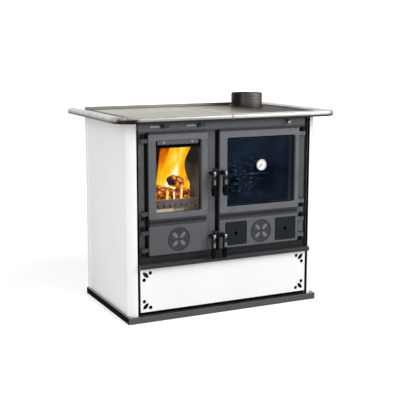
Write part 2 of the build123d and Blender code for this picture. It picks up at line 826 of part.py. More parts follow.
# ------------------------------------------------------------------ hob
with BuildPart() as hob_frame:
    with BuildSketch(Plane.XY.offset(hob_bottom)):
        with Locations((0, (hob_front + hob_back) / 2)):
            Rectangle(2 * hob_half, hob_back - hob_front)
    extrude(amount=hob_top - hob_bottom)
    fillet(hob_frame.edges().filter_by(Axis.Z).group_by(Axis.Y)[0], radius=hob_corner_radius)
    chamfer(hob_frame.edges().group_by(Axis.Z)[-1], length=casting_chamfer)
    block((-plates_half, plates_half), (plates_front, plates_back), (plate_bottom, hob_top), Mode.SUBTRACT)
    block(
        (-plates_half + hob_ledge, plates_half - hob_ledge),
        (plates_front + hob_ledge, plates_back - hob_ledge),
        (hob_bottom, hob_top),
        Mode.SUBTRACT,
    )
hob_frame.part.label = "hob_frame"
export_step(hob_frame.part, "parts/hob_frame.step")

plate_y = (plates_front + plate_clearance, plates_back - plate_clearance)
plate_z = (plate_bottom, hob_top)
lift_pocket_floor = hob_top - lift_pocket_depth
with BuildPart() as hob_plate_left:
    block((-plates_half + plate_clearance, plate_joint_x - plate_clearance / 2), plate_y, plate_z)
    chamfer(hob_plate_left.edges().group_by(Axis.Z)[-1], length=casting_chamfer)
    ring_seat_radius = ring_radius + round_clearance
    standing_disc(ring_x, ring_y, hob_top - ring_thickness, ring_thickness, ring_seat_radius, Mode.SUBTRACT)
    standing_disc(ring_x, ring_y, plate_bottom, hob_plate_thickness, ring_radius - ring_seat, Mode.SUBTRACT)
    standing_disc(
        lift_pocket_x, lift_pocket_y, lift_pocket_floor, lift_pocket_depth, lift_pocket_radius, Mode.SUBTRACT
    )
hob_plate_left.part.label = "hob_plate_left"
export_step(hob_plate_left.part, "parts/hob_plate_left.step")

with BuildPart() as hob_plate_right:
    block((plate_joint_x + plate_clearance / 2, plates_half - plate_clearance), plate_y, plate_z)
    chamfer(hob_plate_right.edges().group_by(Axis.Z)[-1], length=casting_chamfer)
    flue_hole_radius = collar_radius - collar_wall
    standing_disc(flue_x, flue_y, plate_bottom, hob_plate_thickness, flue_hole_radius, Mode.SUBTRACT)
hob_plate_right.part.label = "hob_plate_right"
export_step(hob_plate_right.part, "parts/hob_plate_right.step")

with BuildPart() as hob_ring:
    ring_z0 = hob_top - ring_thickness
    standing_disc(ring_x, ring_y, ring_z0, ring_thickness, ring_radius)
    chamfer(hob_ring.edges().group_by(Axis.Z)[-1], length=casting_chamfer)
    lid_seat_z = hob_top - lid_rim_thickness
    lid_seat_radius = lid_radius + round_clearance
    standing_disc(ring_x, ring_y, lid_seat_z, lid_rim_thickness, lid_seat_radius, Mode.SUBTRACT)
    standing_disc(ring_x, ring_y, ring_z0, ring_thickness, lid_radius - lid_seat, Mode.SUBTRACT)
hob_ring.part.label = "hob_ring"
export_step(hob_ring.part, "parts/hob_ring.step")

with BuildPart() as hob_lid:
    standing_disc(ring_x, ring_y, lid_seat_z, lid_rim_thickness, lid_radius)
    chamfer(hob_lid.edges().group_by(Axis.Z)[-1], length=casting_chamfer)
    lid_boss_radius = lid_radius - lid_seat - round_clearance
    standing_disc(ring_x, ring_y, ring_z0, ring_thickness - lid_rim_thickness, lid_boss_radius)
    lid_pocket_y = ring_y - lid_radius / 2
    standing_disc(
        ring_x, lid_pocket_y, lift_pocket_floor, lift_pocket_depth, lift_pocket_radius, Mode.SUBTRACT
    )
hob_lid.part.label = "hob_lid"
export_step(hob_lid.part, "parts/hob_lid.step")

with BuildPart() as back_rim:
    rim_half = hob_half - back_rim_inset
    block(
        (-rim_half, rim_half),
        (hob_back - back_rim_thickness, hob_back),
        (hob_top, hob_top + back_rim_height),
    )
    fillet(back_rim.edges().filter_by(Axis.Y).group_by(Axis.Z)[-1], radius=back_rim_height / 2)
back_rim.part.label = "back_rim"
export_step(back_rim.part, "parts/back_rim.step")

# ------------------------------------------------------------------ rail
def rail_half(x0, x1):
    """One half of the rail between two limits in X: side, rounded corner and half the front."""
    with BuildSketch(Plane.XY.offset(hob_bottom)) as outline:
        RectangleRounded(rail_width, rail_depth, rail_corner_radius)
        with Locations((0, rail_bar_width / 2)):
            RectangleRounded(
                rail_width - 2 * rail_bar_width,
                rail_depth - rail_bar_width,
                rail_corner_radius - rail_bar_width,
                mode=Mode.SUBTRACT,
            )
        with Locations((0, rail_depth / 2 - rail_corner_radius)):
            Rectangle(rail_width, 2 * rail_corner_radius, mode=Mode.SUBTRACT)
        for tip_side in (-1, 1):
            tip_x = tip_side * (rail_width - rail_bar_width) / 2
            with Locations((tip_x, rail_depth / 2 - rail_corner_radius)):
                RectangleRounded(rail_bar_width, 2 * rail_corner_radius, rail_tip_radius)
            with Locations((tip_x, rail_depth / 2 - 1.5 * rail_corner_radius)):
                Rectangle(rail_bar_width, rail_corner_radius)
        with Locations(((x0 + x1) / 2, 0)):
            Rectangle(x1 - x0, rail_depth, mode=Mode.INTERSECT)
    extrude(outline.sketch, amount=rail_bar_height)


with BuildPart() as rail_left:
    rail_half(-rail_width / 2, rail_joint_x - rail_joint_gap / 2)
    fillet(rail_left.edges().group_by(Axis.Z)[-1].sort_by(Axis.X)[:-1], radius=rail_edge_radius)
    fillet(rail_left.edges().group_by(Axis.Z)[0].sort_by(Axis.X)[:-1], radius=rail_under_radius)
rail_left.part.label = "rail_left"
export_step(rail_left.part, "parts/rail_left.step")

with BuildPart() as rail_right:
    rail_half(rail_joint_x + rail_joint_gap / 2, rail_width / 2)
    fillet(rail_right.edges().group_by(Axis.Z)[-1].sort_by(Axis.X)[1:], radius=rail_edge_radius)
    fillet(rail_right.edges().group_by(Axis.Z)[0].sort_by(Axis.X)[1:], radius=rail_under_radius)
rail_right.part.label = "rail_right"
export_step(rail_right.part, "parts/rail_right.step")

with BuildPart() as rail_brackets:
    bracket_z = (hob_bottom - bracket_thickness, hob_bottom)
    for bracket_side in (-1, 1):
        bracket_x = bracket_side * (body_half - bracket_inset_x)
        block(
            (bracket_x - bracket_width / 2, bracket_x + bracket_width / 2),
            (hob_front - hob_to_rail - bracket_reach, body_front - facade_recess),
            bracket_z,
        )
        bracket_root = bracket_side * (body_half + panel_sheet)
        bracket_end = bracket_side * (hob_half + hob_to_rail + bracket_reach)
        for bracket_y in (-rail_depth / 2 + bracket_inset_fore, rail_depth / 2 - bracket_inset_aft):
            block(
                sorted((bracket_root, bracket_end)),
                (bracket_y - bracket_width / 2, bracket_y + bracket_width / 2),
                bracket_z,
            )
rail_brackets.part.label = "rail_brackets"
export_step(rail_brackets.part, "parts/rail_brackets.step")

# ------------------------------------------------------------------ flue collar
with BuildPart() as flue_collar:
    standing_disc(flue_x, flue_y, hob_top, collar_flange, collar_flange_radius)
    chamfer(flue_collar.edges().group_by(Axis.Z)[-1], length=casting_chamfer)
    standing_disc(flue_x, flue_y, hob_top, collar_height, collar_radius)
    standing_disc(flue_x, flue_y, hob_top, collar_height, collar_radius - collar_wall, Mode.SUBTRACT)
flue_collar.part.label = "flue_collar"
export_step(flue_collar.part, "parts/flue_collar.step")

with BuildPart() as collar_bolts:
    bolt_circle = (collar_radius + collar_flange_radius) / 2
    with BuildSketch(Plane.XY.offset(hob_top + collar_flange)):
        with Locations((flue_x, flue_y)):
            with PolarLocations(bolt_circle, collar_bolts_number, start_angle=45):
                RegularPolygon(collar_bolt_radius, 6)
    extrude(amount=collar_bolt_head)
collar_bolts.part.label = "collar_bolts"
export_step(collar_bolts.part, "parts/collar_bolts.step")


# ------------------------------------------------------------------ doors
def door_blank(x0, x1, z0, z1, edge, hinge_x, pivot_x, pivot_z):
    """A cast door leaf with its two hinge knuckles, its handle lug and the bores in them."""
    upright_panel((x0, x1), (z0, z1), door_back, door_thickness, door_corner_radius)
    chamfer(faces().sort_by(Axis.Y)[0].edges(), length=door_edge_chamfer)
    upper_z, lower_z = fixed_knuckles(z0, z1, edge)
    near_x = x0 if hinge_x < x0 else x1
    for door_knuckle_z in (upper_z - knuckle_gap - knuckle_height, lower_z + knuckle_height + knuckle_gap):
        standing_disc(hinge_x, pin_y, door_knuckle_z, knuckle_height, knuckle_radius)
        arm_x = (hinge_x, near_x + hinge_arm_lap) if hinge_x < x0 else (near_x - hinge_arm_lap, hinge_x)
        block(
            arm_x,
            (door_front + door_edge_chamfer, door_front + door_edge_chamfer + knuckle_radius),
            (door_knuckle_z, door_knuckle_z + knuckle_height),
        )
        standing_disc(hinge_x, pin_y, door_knuckle_z, knuckle_height, pin_bore_radius, Mode.SUBTRACT)
    lug_depth = door_thickness - door_edge_chamfer / 2
    if pivot_x > x1:
        upright_disc(pivot_x, pivot_z, door_back, lug_depth, lug_radius)
        block(
            (x1 - lug_radius, pivot_x),
            (door_back - lug_depth, door_back),
            (pivot_z - lug_radius, pivot_z + lug_radius),
        )
    upright_disc(pivot_x, pivot_z, door_back, door_thickness, spindle_radius + pin_clearance, Mode.SUBTRACT)


def window_cut(x, z):
    """The bevelled window of a glazed door, with the rebate for its glass behind."""
    upright_panel(x, z, door_back, door_thickness, window_corner_radius, Mode.SUBTRACT)
    window_edges = faces().sort_by(Axis.Y)[0].inner_wires()[0].edges()
    chamfer(window_edges, length=window_chamfer)
    lap = glass_lap + glass_clearance
    upright_panel(
        (x[0] - lap, x[1] + lap),
        (z[0] - lap, z[1] + lap),
        door_back,
        door_back - glass_front,
        window_corner_radius,
        Mode.SUBTRACT,
    )


def window_ring(x, z, outer, inner, y_back, thickness, mode=Mode.ADD):
    """A flat frame, or its groove: outer and inner say how far its edges lie outside x and z."""
    with BuildSketch(front_plane(y_back)) as outline:
        with Locations(((x[0] + x[1]) / 2, (z[0] + z[1]) / 2)):
            RectangleRounded(x[1] - x[0] + 2 * outer, z[1] - z[0] + 2 * outer, window_corner_radius)
            RectangleRounded(
                x[1] - x[0] + 2 * inner, z[1] - z[0] + 2 * inner, window_corner_radius / 2, mode=Mode.SUBTRACT
            )
    extrude(outline.sketch, amount=thickness, mode=mode)


def rosette(x, z):
    """A round cast ornament: a band, four petals set crosswise, four dots and a middle boss."""
    petal_radius = (petal_length**2 + petal_width**2) / (4 * petal_width)
    with BuildSketch(front_plane(door_front)) as outline:
        with Locations((x, z)):
            Circle(rosette_radius)
            Circle(rosette_radius - rosette_band, mode=Mode.SUBTRACT)
            Circle(rosette_boss_radius)
            with PolarLocations(rosette_dot_circle, 4):
                Circle(rosette_boss_radius)
        for petal_turn in (45, 135, 225, 315):
            along = Vector(cos(radians(petal_turn)), sin(radians(petal_turn)))
            first = Vector(x, z) + along * petal_start
            last = first + along * petal_length
            with BuildLine():
                RadiusArc(first, last, petal_radius)
                RadiusArc(last, first, petal_radius)
            make_face()
    extrude(outline.sketch, amount=rosette_relief)


with BuildPart() as firebox_door:
    door_blank(
        left_door_x0, left_door_x1, upper_door_z0, upper_door_z1, hinge_edge_upper,
        left_pin_x, left_pivot_x, upper_pivot_z,
    )
    window_cut(firebox_window_x, firebox_window_z)
    window_ring(
        firebox_window_x, firebox_window_z, rope_outset, rope_inset, door_back, rope_depth, Mode.SUBTRACT
    )
firebox_door.part.label = "firebox_door"
export_step(firebox_door.part, "parts/firebox_door.step")

with BuildPart() as firebox_door_rope:
    window_ring(firebox_window_x, firebox_window_z, rope_outset, rope_inset, door_back, rope_depth)
firebox_door_rope.part.label = "firebox_door_rope"
export_step(firebox_door_rope.part, "parts/firebox_door_rope.step")

with BuildPart() as firebox_glass:
    upright_panel(
        (firebox_window_x[0] - glass_lap, firebox_window_x[1] + glass_lap),
        (firebox_window_z[0] - glass_lap, firebox_window_z[1] + glass_lap),
        glass_back,
        glass_thickness,
        window_corner_radius,
    )
firebox_glass.part.label = "firebox_glass"
export_step(firebox_glass.part, "parts/firebox_glass.step")

with BuildPart() as firebox_glass_retainer:
    window_ring(firebox_window_x, firebox_window_z, glass_lap, 0, retainer_back, retainer_thickness)
firebox_glass_retainer.part.label = "firebox_glass_retainer"
export_step(firebox_glass_retainer.part, "parts/firebox_glass_retainer.step")

with BuildPart() as firebox_glass_strip:
    strip_top = firebox_window_z[1] - glass_clearance
    strip_x = (firebox_window_x[0] + firebox_window_x[1]) / 2
    upright_panel(
        (firebox_window_x[0] + window_corner_radius, firebox_window_x[1] - window_corner_radius),
        (strip_top - strip_height, strip_top),
        glass_front,
        strip_thickness,
        strip_thickness,
    )
    for strip_screw in (-1, 1):
        upright_disc(
            strip_x + strip_screw * screw_spacing / 2, strip_top - strip_height / 2,
            glass_front - strip_thickness, screw_head_height, screw_head_radius,
        )
firebox_glass_strip.part.label = "firebox_glass_strip"
export_step(firebox_glass_strip.part, "parts/firebox_glass_strip.step")

with BuildPart() as ash_door:
    door_blank(
        left_door_x0, left_door_x1, lower_door_z0, lower_door_z1, hinge_edge_lower,
        left_pin_x, left_pivot_x, lower_pivot_z,
    )
    rosette((left_door_x0 + left_door_x1) / 2, (lower_door_z0 + lower_door_z1) / 2)
ash_door.part.label = "ash_door"
export_step(ash_door.part, "parts/ash_door.step")

with BuildPart() as oven_door:
    door_blank(
        right_door_x0, right_door_x1, upper_door_z0, upper_door_z1, hinge_edge_upper,
        right_pin_x, right_pivot_x, upper_pivot_z,
    )
    window_cut(oven_window_x, oven_window_z)
    window_ring(oven_window_x, oven_window_z, rope_outset, rope_inset, door_back, rope_depth, Mode.SUBTRACT)
oven_door.part.label = "oven_door"
export_step(oven_door.part, "parts/oven_door.step")

with BuildPart() as oven_door_rope:
    window_ring(oven_window_x, oven_window_z, rope_outset, rope_inset, door_back, rope_depth)
oven_door_rope.part.label = "oven_door_rope"
export_step(oven_door_rope.part, "parts/oven_door_rope.step")

with BuildPart() as oven_glass:
    upright_panel(
        (oven_window_x[0] - glass_lap, oven_window_x[1] + glass_lap),
        (oven_window_z[0] - glass_lap, oven_window_z[1] + glass_lap),
        glass_back,
        glass_thickness,
        window_corner_radius,
    )
    upright_disc(
        thermometer_x, thermometer_z, glass_back, glass_thickness,
        thermometer_stem_radius + stem_hole_clearance, Mode.SUBTRACT,
    )
oven_glass.part.label = "oven_glass"
export_step(oven_glass.part, "parts/oven_glass.step")

with BuildPart() as oven_glass_retainer:
    window_ring(oven_window_x, oven_window_z, glass_lap, 0, retainer_back, retainer_thickness)
oven_glass_retainer.part.label = "oven_glass_retainer"
export_step(oven_glass_retainer.part, "parts/oven_glass_retainer.step")

insert_middle = (right_door_x0 + right_door_x1) / 2 + insert_center_shift
insert_z = (lower_door_z0 + lower_door_z1) / 2
with BuildPart() as soot_door:
    door_blank(
        right_door_x0, right_door_x1, lower_door_z0, lower_door_z1, hinge_edge_lower,
        right_pin_x, right_pivot_x, lower_pivot_z,
    )
    rosette(insert_middle, insert_z)
    with BuildSketch(front_plane(door_front + insert_recess)):
        with Locations((insert_middle, insert_z)):
            with GridLocations(insert_spread, 0, 2, 1):
                RectangleRounded(insert_width, insert_height, insert_corner_radius)
    extrude(amount=insert_recess, mode=Mode.SUBTRACT)
soot_door.part.label = "soot_door"
export_step(soot_door.part, "parts/soot_door.step")

with BuildPart() as soot_door_inserts:
    insert_y = door_front + insert_recess
    with BuildSketch(front_plane(insert_y)):
        with Locations((insert_middle, insert_z)):
            with GridLocations(insert_spread, 0, 2, 1):
                RectangleRounded(
                    insert_width - 2 * insert_clearance,
                    insert_height - 2 * insert_clearance,
                    insert_corner_radius,
                )
    extrude(amount=insert_thickness)
    with BuildSketch(front_plane(insert_y - insert_thickness)):
        with Locations((insert_middle, insert_z)):
            with GridLocations(insert_spread, 0, 2, 1):
                Circle(screw_head_radius)
    extrude(amount=screw_head_height)
soot_door_inserts.part.label = "soot_door_inserts"
export_step(soot_door_inserts.part, "parts/soot_door_inserts.step")

# ------------------------------------------------------------------ door handles
# Each handle turns on its spindle through the door. The grip hangs down when the door is
# shut, and the nose then lies in front of the keeper on the post.
nose_back = door_front - keeper_gap
hub_front = nose_back - hub_length
grip_y = door_front - grip_forward - grip_radius
handles = (
    ("firebox", left_pivot_x, upper_pivot_z, 1),
    ("ash", left_pivot_x, lower_pivot_z, 1),
    ("oven", right_pivot_x, upper_pivot_z, -1),
    ("soot", right_pivot_x, lower_pivot_z, -1),
)
for handle_name, pivot_x, pivot_z, nose_side in handles:
    grip_x = pivot_x - grip_sideways
    grip_z1 = pivot_z - neck_start - neck_length
    grip_z0 = grip_z1 - grip_length
    tang_z = (grip_z1 - lever_length, pivot_z)
    tang_x = (grip_x - lever_width / 2, grip_x + lever_width / 2)
    tang_y = (grip_y - lever_thickness / 2, grip_y + lever_thickness / 2)
    with BuildPart() as handle_lever:
        upright_disc(pivot_x, pivot_z, door_back, door_back - hub_front, spindle_radius)
        upright_disc(pivot_x, pivot_z, nose_back, hub_length, hub_radius)
        upright_disc(pivot_x, pivot_z, hub_front, cap_height, cap_radius)
        fillet(handle_lever.edges().sort_by(Axis.Y)[0], radius=cap_round)
        block(
            sorted((pivot_x, pivot_x + nose_side * nose_length)),
            (nose_back - nose_thickness, nose_back),
            (pivot_z - nose_height / 2, pivot_z + nose_height / 2),
        )
        standing_disc(grip_x, grip_y, grip_z1, neck_length, neck_radius)
        block(tang_x, tang_y, tang_z)
    handle_lever.part.label = f"{handle_name}_handle_lever"
    export_step(handle_lever.part, f"parts/{handle_name}_handle_lever.step")

    with BuildPart() as handle_grip:
        with BuildSketch(front_plane(grip_y)):
            with BuildLine():
                bulge = ThreePointArc(
                    (grip_x + grip_neck_radius, grip_z1),
                    (grip_x + grip_radius, grip_z1 - 0.5 * grip_length),
                    (grip_x + grip_neck_radius, grip_z0),
                )
                Polyline(bulge @ 1, (grip_x, grip_z0), (grip_x, grip_z1), bulge @ 0)
            make_face()
        revolve(axis=Axis((grip_x, grip_y, 0), (0, 0, 1)))
        fillet(handle_grip.edges().sort_by(Axis.Z)[0], radius=grip_end_round)
        block(tang_x, tang_y, tang_z, Mode.SUBTRACT)
    handle_grip.part.label = f"{handle_name}_handle_grip"
    export_step(handle_grip.part, f"parts/{handle_name}_handle_grip.step")

# ------------------------------------------------------------------ oven thermometer
thermometer_front = glass_front - thermometer_depth
dial_y = thermometer_front + thermometer_bezel
needle_pivot_radius = needle_width / 2
with BuildPart() as thermometer_case:
    upright_disc(thermometer_x, thermometer_z, glass_front, thermometer_depth, thermometer_radius)
    fillet(thermometer_case.edges().sort_by(Axis.Y)[0], radius=thermometer_bezel / 2)
    dial_radius = thermometer_radius - thermometer_bezel
    upright_disc(thermometer_x, thermometer_z, dial_y, thermometer_bezel, dial_radius, Mode.SUBTRACT)
    upright_disc(
        thermometer_x, thermometer_z, glass_front + thermometer_stem_length,
        thermometer_stem_length, thermometer_stem_radius,
    )
    upright_disc(
        thermometer_x, thermometer_z, dial_y + thermometer_bezel, thermometer_bezel,
        needle_pivot_radius + pin_clearance, Mode.SUBTRACT,
    )
thermometer_case.part.label = "thermometer_case"
export_step(thermometer_case.part, "parts/thermometer_case.step")

with BuildPart() as thermometer_needle:
    needle_y = dial_y - needle_gap
    upright_disc(
        thermometer_x, thermometer_z, dial_y + thermometer_bezel / 2,
        thermometer_bezel / 2 + needle_gap + needle_thickness, needle_pivot_radius,
    )
    upright_disc(thermometer_x, thermometer_z, needle_y, needle_thickness, needle_width)
    needle_plane = Plane(
        origin=(thermometer_x, needle_y, thermometer_z),
        x_dir=(cos(radians(needle_rest_angle)), 0, sin(radians(needle_rest_angle))),
        z_dir=(0, -1, 0),
    )
    with BuildSketch(needle_plane):
        with Locations(((needle_length - needle_tail) / 2, 0)):
            Rectangle(needle_length + needle_tail, needle_width)
    extrude(amount=needle_thickness)
thermometer_needle.part.label = "thermometer_needle"
export_step(thermometer_needle.part, "parts/thermometer_needle.step")

# ------------------------------------------------------------------ air slides
for slide_name, slide_x in (("left", slide_left_x), ("right", slide_right_x)):
    with BuildPart() as air_slide:
        slide_back = facade_y + slide_slot_depth - keeper_gap
        slide_x0 = slide_x + slide_end_margin
        knob_x = slide_x0 + slide_length - slide_knob_radius
        knob_back = facade_y - slide_knob_gap
        block(
            (slide_x0, slide_x0 + slide_length),
            (slide_back - slide_thickness, slide_back),
            (damper_z - slide_height / 2, damper_z + slide_height / 2),
        )
        upright_disc(knob_x, damper_z, slide_back, slide_back - knob_back, slide_neck_radius)
        upright_disc(knob_x, damper_z, knob_back, slide_knob_length, slide_knob_radius)
        fillet(air_slide.edges().sort_by(Axis.Y)[0], radius=slide_knob_round)
    air_slide.part.label = f"air_slide_{slide_name}"
    export_step(air_slide.part, f"parts/air_slide_{slide_name}.step")

# ------------------------------------------------------------------ flue damper
with BuildPart() as damper_valve:
    valve_y = smoke_y0 - keeper_gap
    knob_y = facade_y - damper_knob_gap
    valve_half_width = damper_window_width / 2 + damper_plate_lap
    valve_half_height = damper_window_height / 2 + damper_plate_lap
    upright_panel(
        (damper_x - valve_half_width, damper_x + valve_half_width),
        (damper_z - valve_half_height, damper_z + valve_half_height),
        valve_y,
        damper_plate_thickness,
        damper_plate_lap,
    )
    upright_disc(damper_x, damper_z, valve_y, valve_y - knob_y + damper_knob_length / 2, damper_rod_radius)
damper_valve.part.label = "damper_valve"
export_step(damper_valve.part, "parts/damper_valve.step")

with BuildPart() as damper_knob:
    upright_disc(damper_x, damper_z, knob_y, damper_knob_length, damper_knob_radius)
    fillet(damper_knob.edges().sort_by(Axis.Y)[0], radius=damper_knob_round)
    fillet(damper_knob.edges().sort_by(Axis.Y)[-1], radius=damper_knob_round / 2)
    upright_disc(damper_x, damper_z, knob_y, damper_knob_length / 2, damper_rod_radius, Mode.SUBTRACT)
damper_knob.part.label = "damper_knob"
export_step(damper_knob.part, "parts/damper_knob.step")

# ------------------------------------------------------------------ wood drawer
drawer_half = carcass_half - drawer_side_gap
pan_back = body_front + drawer_fold
with BuildPart() as drawer_front:
    block((-drawer_half, drawer_half), (body_front, pan_back), (drawer_z0, drawer_z1))
    fillet(drawer_front.edges().filter_by(Axis.Y), radius=drawer_sheet)
    fillet(drawer_front.faces().sort_by(Axis.Y)[0].edges(), radius=drawer_sheet / 2)
    block(
        (-drawer_half + drawer_sheet, drawer_half - drawer_sheet),
        (body_front + drawer_sheet, pan_back),
        (drawer_z0 + drawer_sheet, drawer_z1 - drawer_sheet),
        Mode.SUBTRACT,
    )
    leaf_radius = (leaf_length**2 + leaf_width**2) / (4 * leaf_width)
    for side_x in (-1, 1):
        for side_z, edge_z in ((-1, drawer_z0), (1, drawer_z1)):
            leaf = Vector(side_x * (drawer_half - ornament_inset), edge_z - side_z * ornament_inset)
            outward = Vector(side_x, side_z).normalized()
            tip = leaf + outward * leaf_length / 2
            root = leaf - outward * leaf_length / 2
            with BuildSketch(front_plane(body_front + drawer_sheet)):
                with BuildLine():
                    RadiusArc(root, tip, leaf_radius)
                    RadiusArc(tip, root, leaf_radius)
                make_face()
                with Locations(
                    (leaf.X - side_x * ornament_reach, leaf.Y + side_z * ornament_back),
                    (leaf.X + side_x * ornament_back, leaf.Y - side_z * ornament_reach),
                ):
                    Circle(dot_radius)
            extrude(amount=drawer_sheet, mode=Mode.SUBTRACT)
drawer_front.part.label = "drawer_front"
export_step(drawer_front.part, "parts/drawer_front.step")

box_half = carcass_inner - drawer_box_gap
box_z = (drawer_z0 + drawer_box_inset_bottom, drawer_z1 - drawer_box_inset_top)
runner_top = box_z[0] + drawer_box_inset_bottom
with BuildPart() as drawer_box:
    block((-box_half, box_half), (pan_back, pan_back + drawer_box_depth), box_z)
    block(
        (-box_half + drawer_box_wall, box_half - drawer_box_wall),
        (pan_back + drawer_box_wall, pan_back + drawer_box_depth - drawer_box_wall),
        (box_z[0] + drawer_box_wall, box_z[1]),
        Mode.SUBTRACT,
    )
    block(
        (-drawer_half + drawer_sheet, drawer_half - drawer_sheet),
        (pan_back - drawer_sheet, pan_back),
        (drawer_z0 + drawer_sheet, drawer_z1 - drawer_sheet),
    )
    for box_side in (-1, 1):
        block(
            sorted((box_side * (box_half - drawer_box_wall), box_side * (box_half + drawer_flange))),
            (facade_back, pan_back + drawer_box_depth),
            (runner_top + drawer_flange_gap, runner_top + drawer_flange_gap + drawer_box_wall),
        )
drawer_box.part.label = "drawer_box"
export_step(drawer_box.part, "parts/drawer_box.step")

with BuildPart() as drawer_runners:
    for runner_side in (-1, 1):
        block(
            sorted((runner_side * (carcass_inner - runner_wall), runner_side * carcass_inner)),
            (facade_back, back_face),
            (runner_top - runner_wall, runner_top - runner_wall + runner_height),
        )
        block(
            sorted((runner_side * (box_half + runner_wall), runner_side * carcass_inner)),
            (facade_back, back_face),
            (runner_top - runner_wall, runner_top),
        )
drawer_runners.part.label = "drawer_runners"
export_step(drawer_runners.part, "parts/drawer_runners.step")
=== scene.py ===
import bpy
from math import atan2, radians, tau
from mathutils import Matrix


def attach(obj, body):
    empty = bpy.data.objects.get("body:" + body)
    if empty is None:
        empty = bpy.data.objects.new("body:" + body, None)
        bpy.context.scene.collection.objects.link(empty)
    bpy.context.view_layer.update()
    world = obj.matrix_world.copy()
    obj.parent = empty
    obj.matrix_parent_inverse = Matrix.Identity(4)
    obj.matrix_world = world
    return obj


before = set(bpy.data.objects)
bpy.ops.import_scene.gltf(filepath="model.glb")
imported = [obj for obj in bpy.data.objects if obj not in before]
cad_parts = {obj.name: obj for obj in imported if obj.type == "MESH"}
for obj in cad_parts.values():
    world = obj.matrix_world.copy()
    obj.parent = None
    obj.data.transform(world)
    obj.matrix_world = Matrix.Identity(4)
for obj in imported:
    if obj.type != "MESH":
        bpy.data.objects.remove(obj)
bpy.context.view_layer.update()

# ---------------------------------------------------------------- plinth
# The stove stands on a shallow tray folded from 3 mm steel sheet. It is fired with a satin
# black vitreous enamel; its sides are painted near black, much darker than the front, as painted shade.


def srgb(code):
    """An sRGB hex value as the linear colour that a node takes."""
    channels = [int(code[i:i + 2], 16) / 255 for i in (1, 3, 5)]
    return tuple(c / 12.92 if c <= 0.04045 else ((c + 0.055) / 1.055) ** 2.4 for c in channels) + (1.0,)


def wire(tree, node, inputs):
    """Fills a node's sockets: an output is linked to it, a hex value is a colour, the rest are values."""
    for key, value in inputs.items():
        if isinstance(value, bpy.types.NodeSocket):
            tree.links.new(value, node.inputs[key])
        else:
            node.inputs[key].default_value = srgb(value) if isinstance(value, str) else value


def add(tree, kind, inputs, stops=(), **settings):
    """Adds one node with its settings and links. stops are a colour ramp's (position, hex value)."""
    node = tree.nodes.new("ShaderNode" + kind)
    for name, value in settings.items():
        setattr(node, name, value)
    for number, (position, code) in enumerate(stops):
        elements = node.color_ramp.elements
        stop = elements[number] if number < 2 else elements.new(position)
        stop.position = position
        stop.color = srgb(code)
    wire(tree, node, inputs)
    return node


def painted(tree, under, over, where, share=1.0):
    """One tone under a coat of another, which covers it where a mask is 1, wholly or by a share."""
    if share != 1.0:
        where = add(tree, "Math", {0: where, 1: share}, operation="MULTIPLY").outputs["Value"]
    return add(tree, "Mix", {0: where, 6: under, 7: over}, data_type="RGBA").outputs[2]


def step_mask(tree, value, start, end):
    """A mask: 0 before start and 1 past end of a number, such as how far along X a place lies."""
    return add(tree, "MapRange", {"Value": value, "From Min": start, "From Max": end}).outputs["Result"]


def aside(tree, place):
    """The distance of a place from the middle plane X = 0."""
    x = add(tree, "SeparateXYZ", {"Vector": place}).outputs["X"]
    return add(tree, "Math", {0: x}, operation="ABSOLUTE").outputs["Value"]


def begin(name):
    """A new material: the material, its nodes, its shader and the place on the piece in metres."""
    material = bpy.data.materials.new(name)
    material.use_nodes = True
    tree = material.node_tree
    tree.nodes.clear()
    place = add(tree, "TexCoord", {}).outputs["Object"]
    shader = add(tree, "BsdfPrincipled", {})
    add(tree, "OutputMaterial", {"Surface": shader.outputs["BSDF"]})
    return material, tree, shader, place


def cloud(tree, place, size, detail=3.0, low=0.35, high=0.65):
    """Soft patches about size metres across, as a mask from 0 to 1."""
    noise = add(tree, "TexNoise", {"Vector": place, "Scale": 1.0 / size, "Detail": detail})
    return step_mask(tree, noise.outputs["Fac"], low, high)


def edge_mask(tree, width):
    """1 along the edges of a piece, over about width metres, and the normal that eases them."""
    flat, turned = 0.995, 0.86
    rounded = add(tree, "Bevel", {"Radius": width}, samples=4).outputs["Normal"]
    plain = add(tree, "NewGeometry", {}).outputs["Normal"]
    likeness = add(tree, "VectorMath", {0: rounded, 1: plain}, operation="DOT_PRODUCT").outputs["Value"]
    return step_mask(tree, likeness, flat, turned), rounded


def enamelled(name, face, thin, roughness, ripple):
    """Vitreous enamel fired on sheet steel: a glass skin with a faint ripple, thinner at the folds."""
    material, tree, shader, place = begin(name)
    edges, rounded = edge_mask(tree, 0.0012)
    tone = painted(tree, painted(tree, face, thin, cloud(tree, place, 0.30)), thin, edges, 0.5)
    skin = add(tree, "TexNoise", {"Vector": place, "Scale": 1.0 / ripple, "Detail": 2.0}).outputs["Fac"]
    bump = add(tree, "Bump", {"Height": skin, "Normal": rounded, "Strength": 0.05, "Distance": 0.0006})
    wire(tree, shader, {
        "Base Color": tone, "Roughness": roughness, "IOR": 1.52, "Coat Weight": 0.4, "Coat Roughness": 0.06,
        "Normal": bump.outputs["Normal"],
    })
    return material, tree, shader, place, tone


def dress(material, *names):
    """Gives a material to CAD nodes."""
    for name in names:
        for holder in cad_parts[name].material_slots:
            holder.material = material


plinth_enamel, tree, shader, place, tone = enamelled(
    "satin_black_enamel_on_folded_steel", "#44484A", "#383B3D", 0.36, 0.004)
# The sides are painted near black: painted shade.
front = step_mask(tree, aside(tree, place), 0.4526, 0.4518)
gloss = add(tree, "Math", {0: front, 1: 0.5}, operation="MULTIPLY").outputs["Value"]
coat = add(tree, "Math", {0: front, 1: 0.4}, operation="MULTIPLY").outputs["Value"]
wire(tree, shader, {
    "Base Color": painted(tree, "#1E1B1A", tone, front), "Specular IOR Level": gloss, "Coat Weight": coat,
})
dress(plinth_enamel, "plinth")
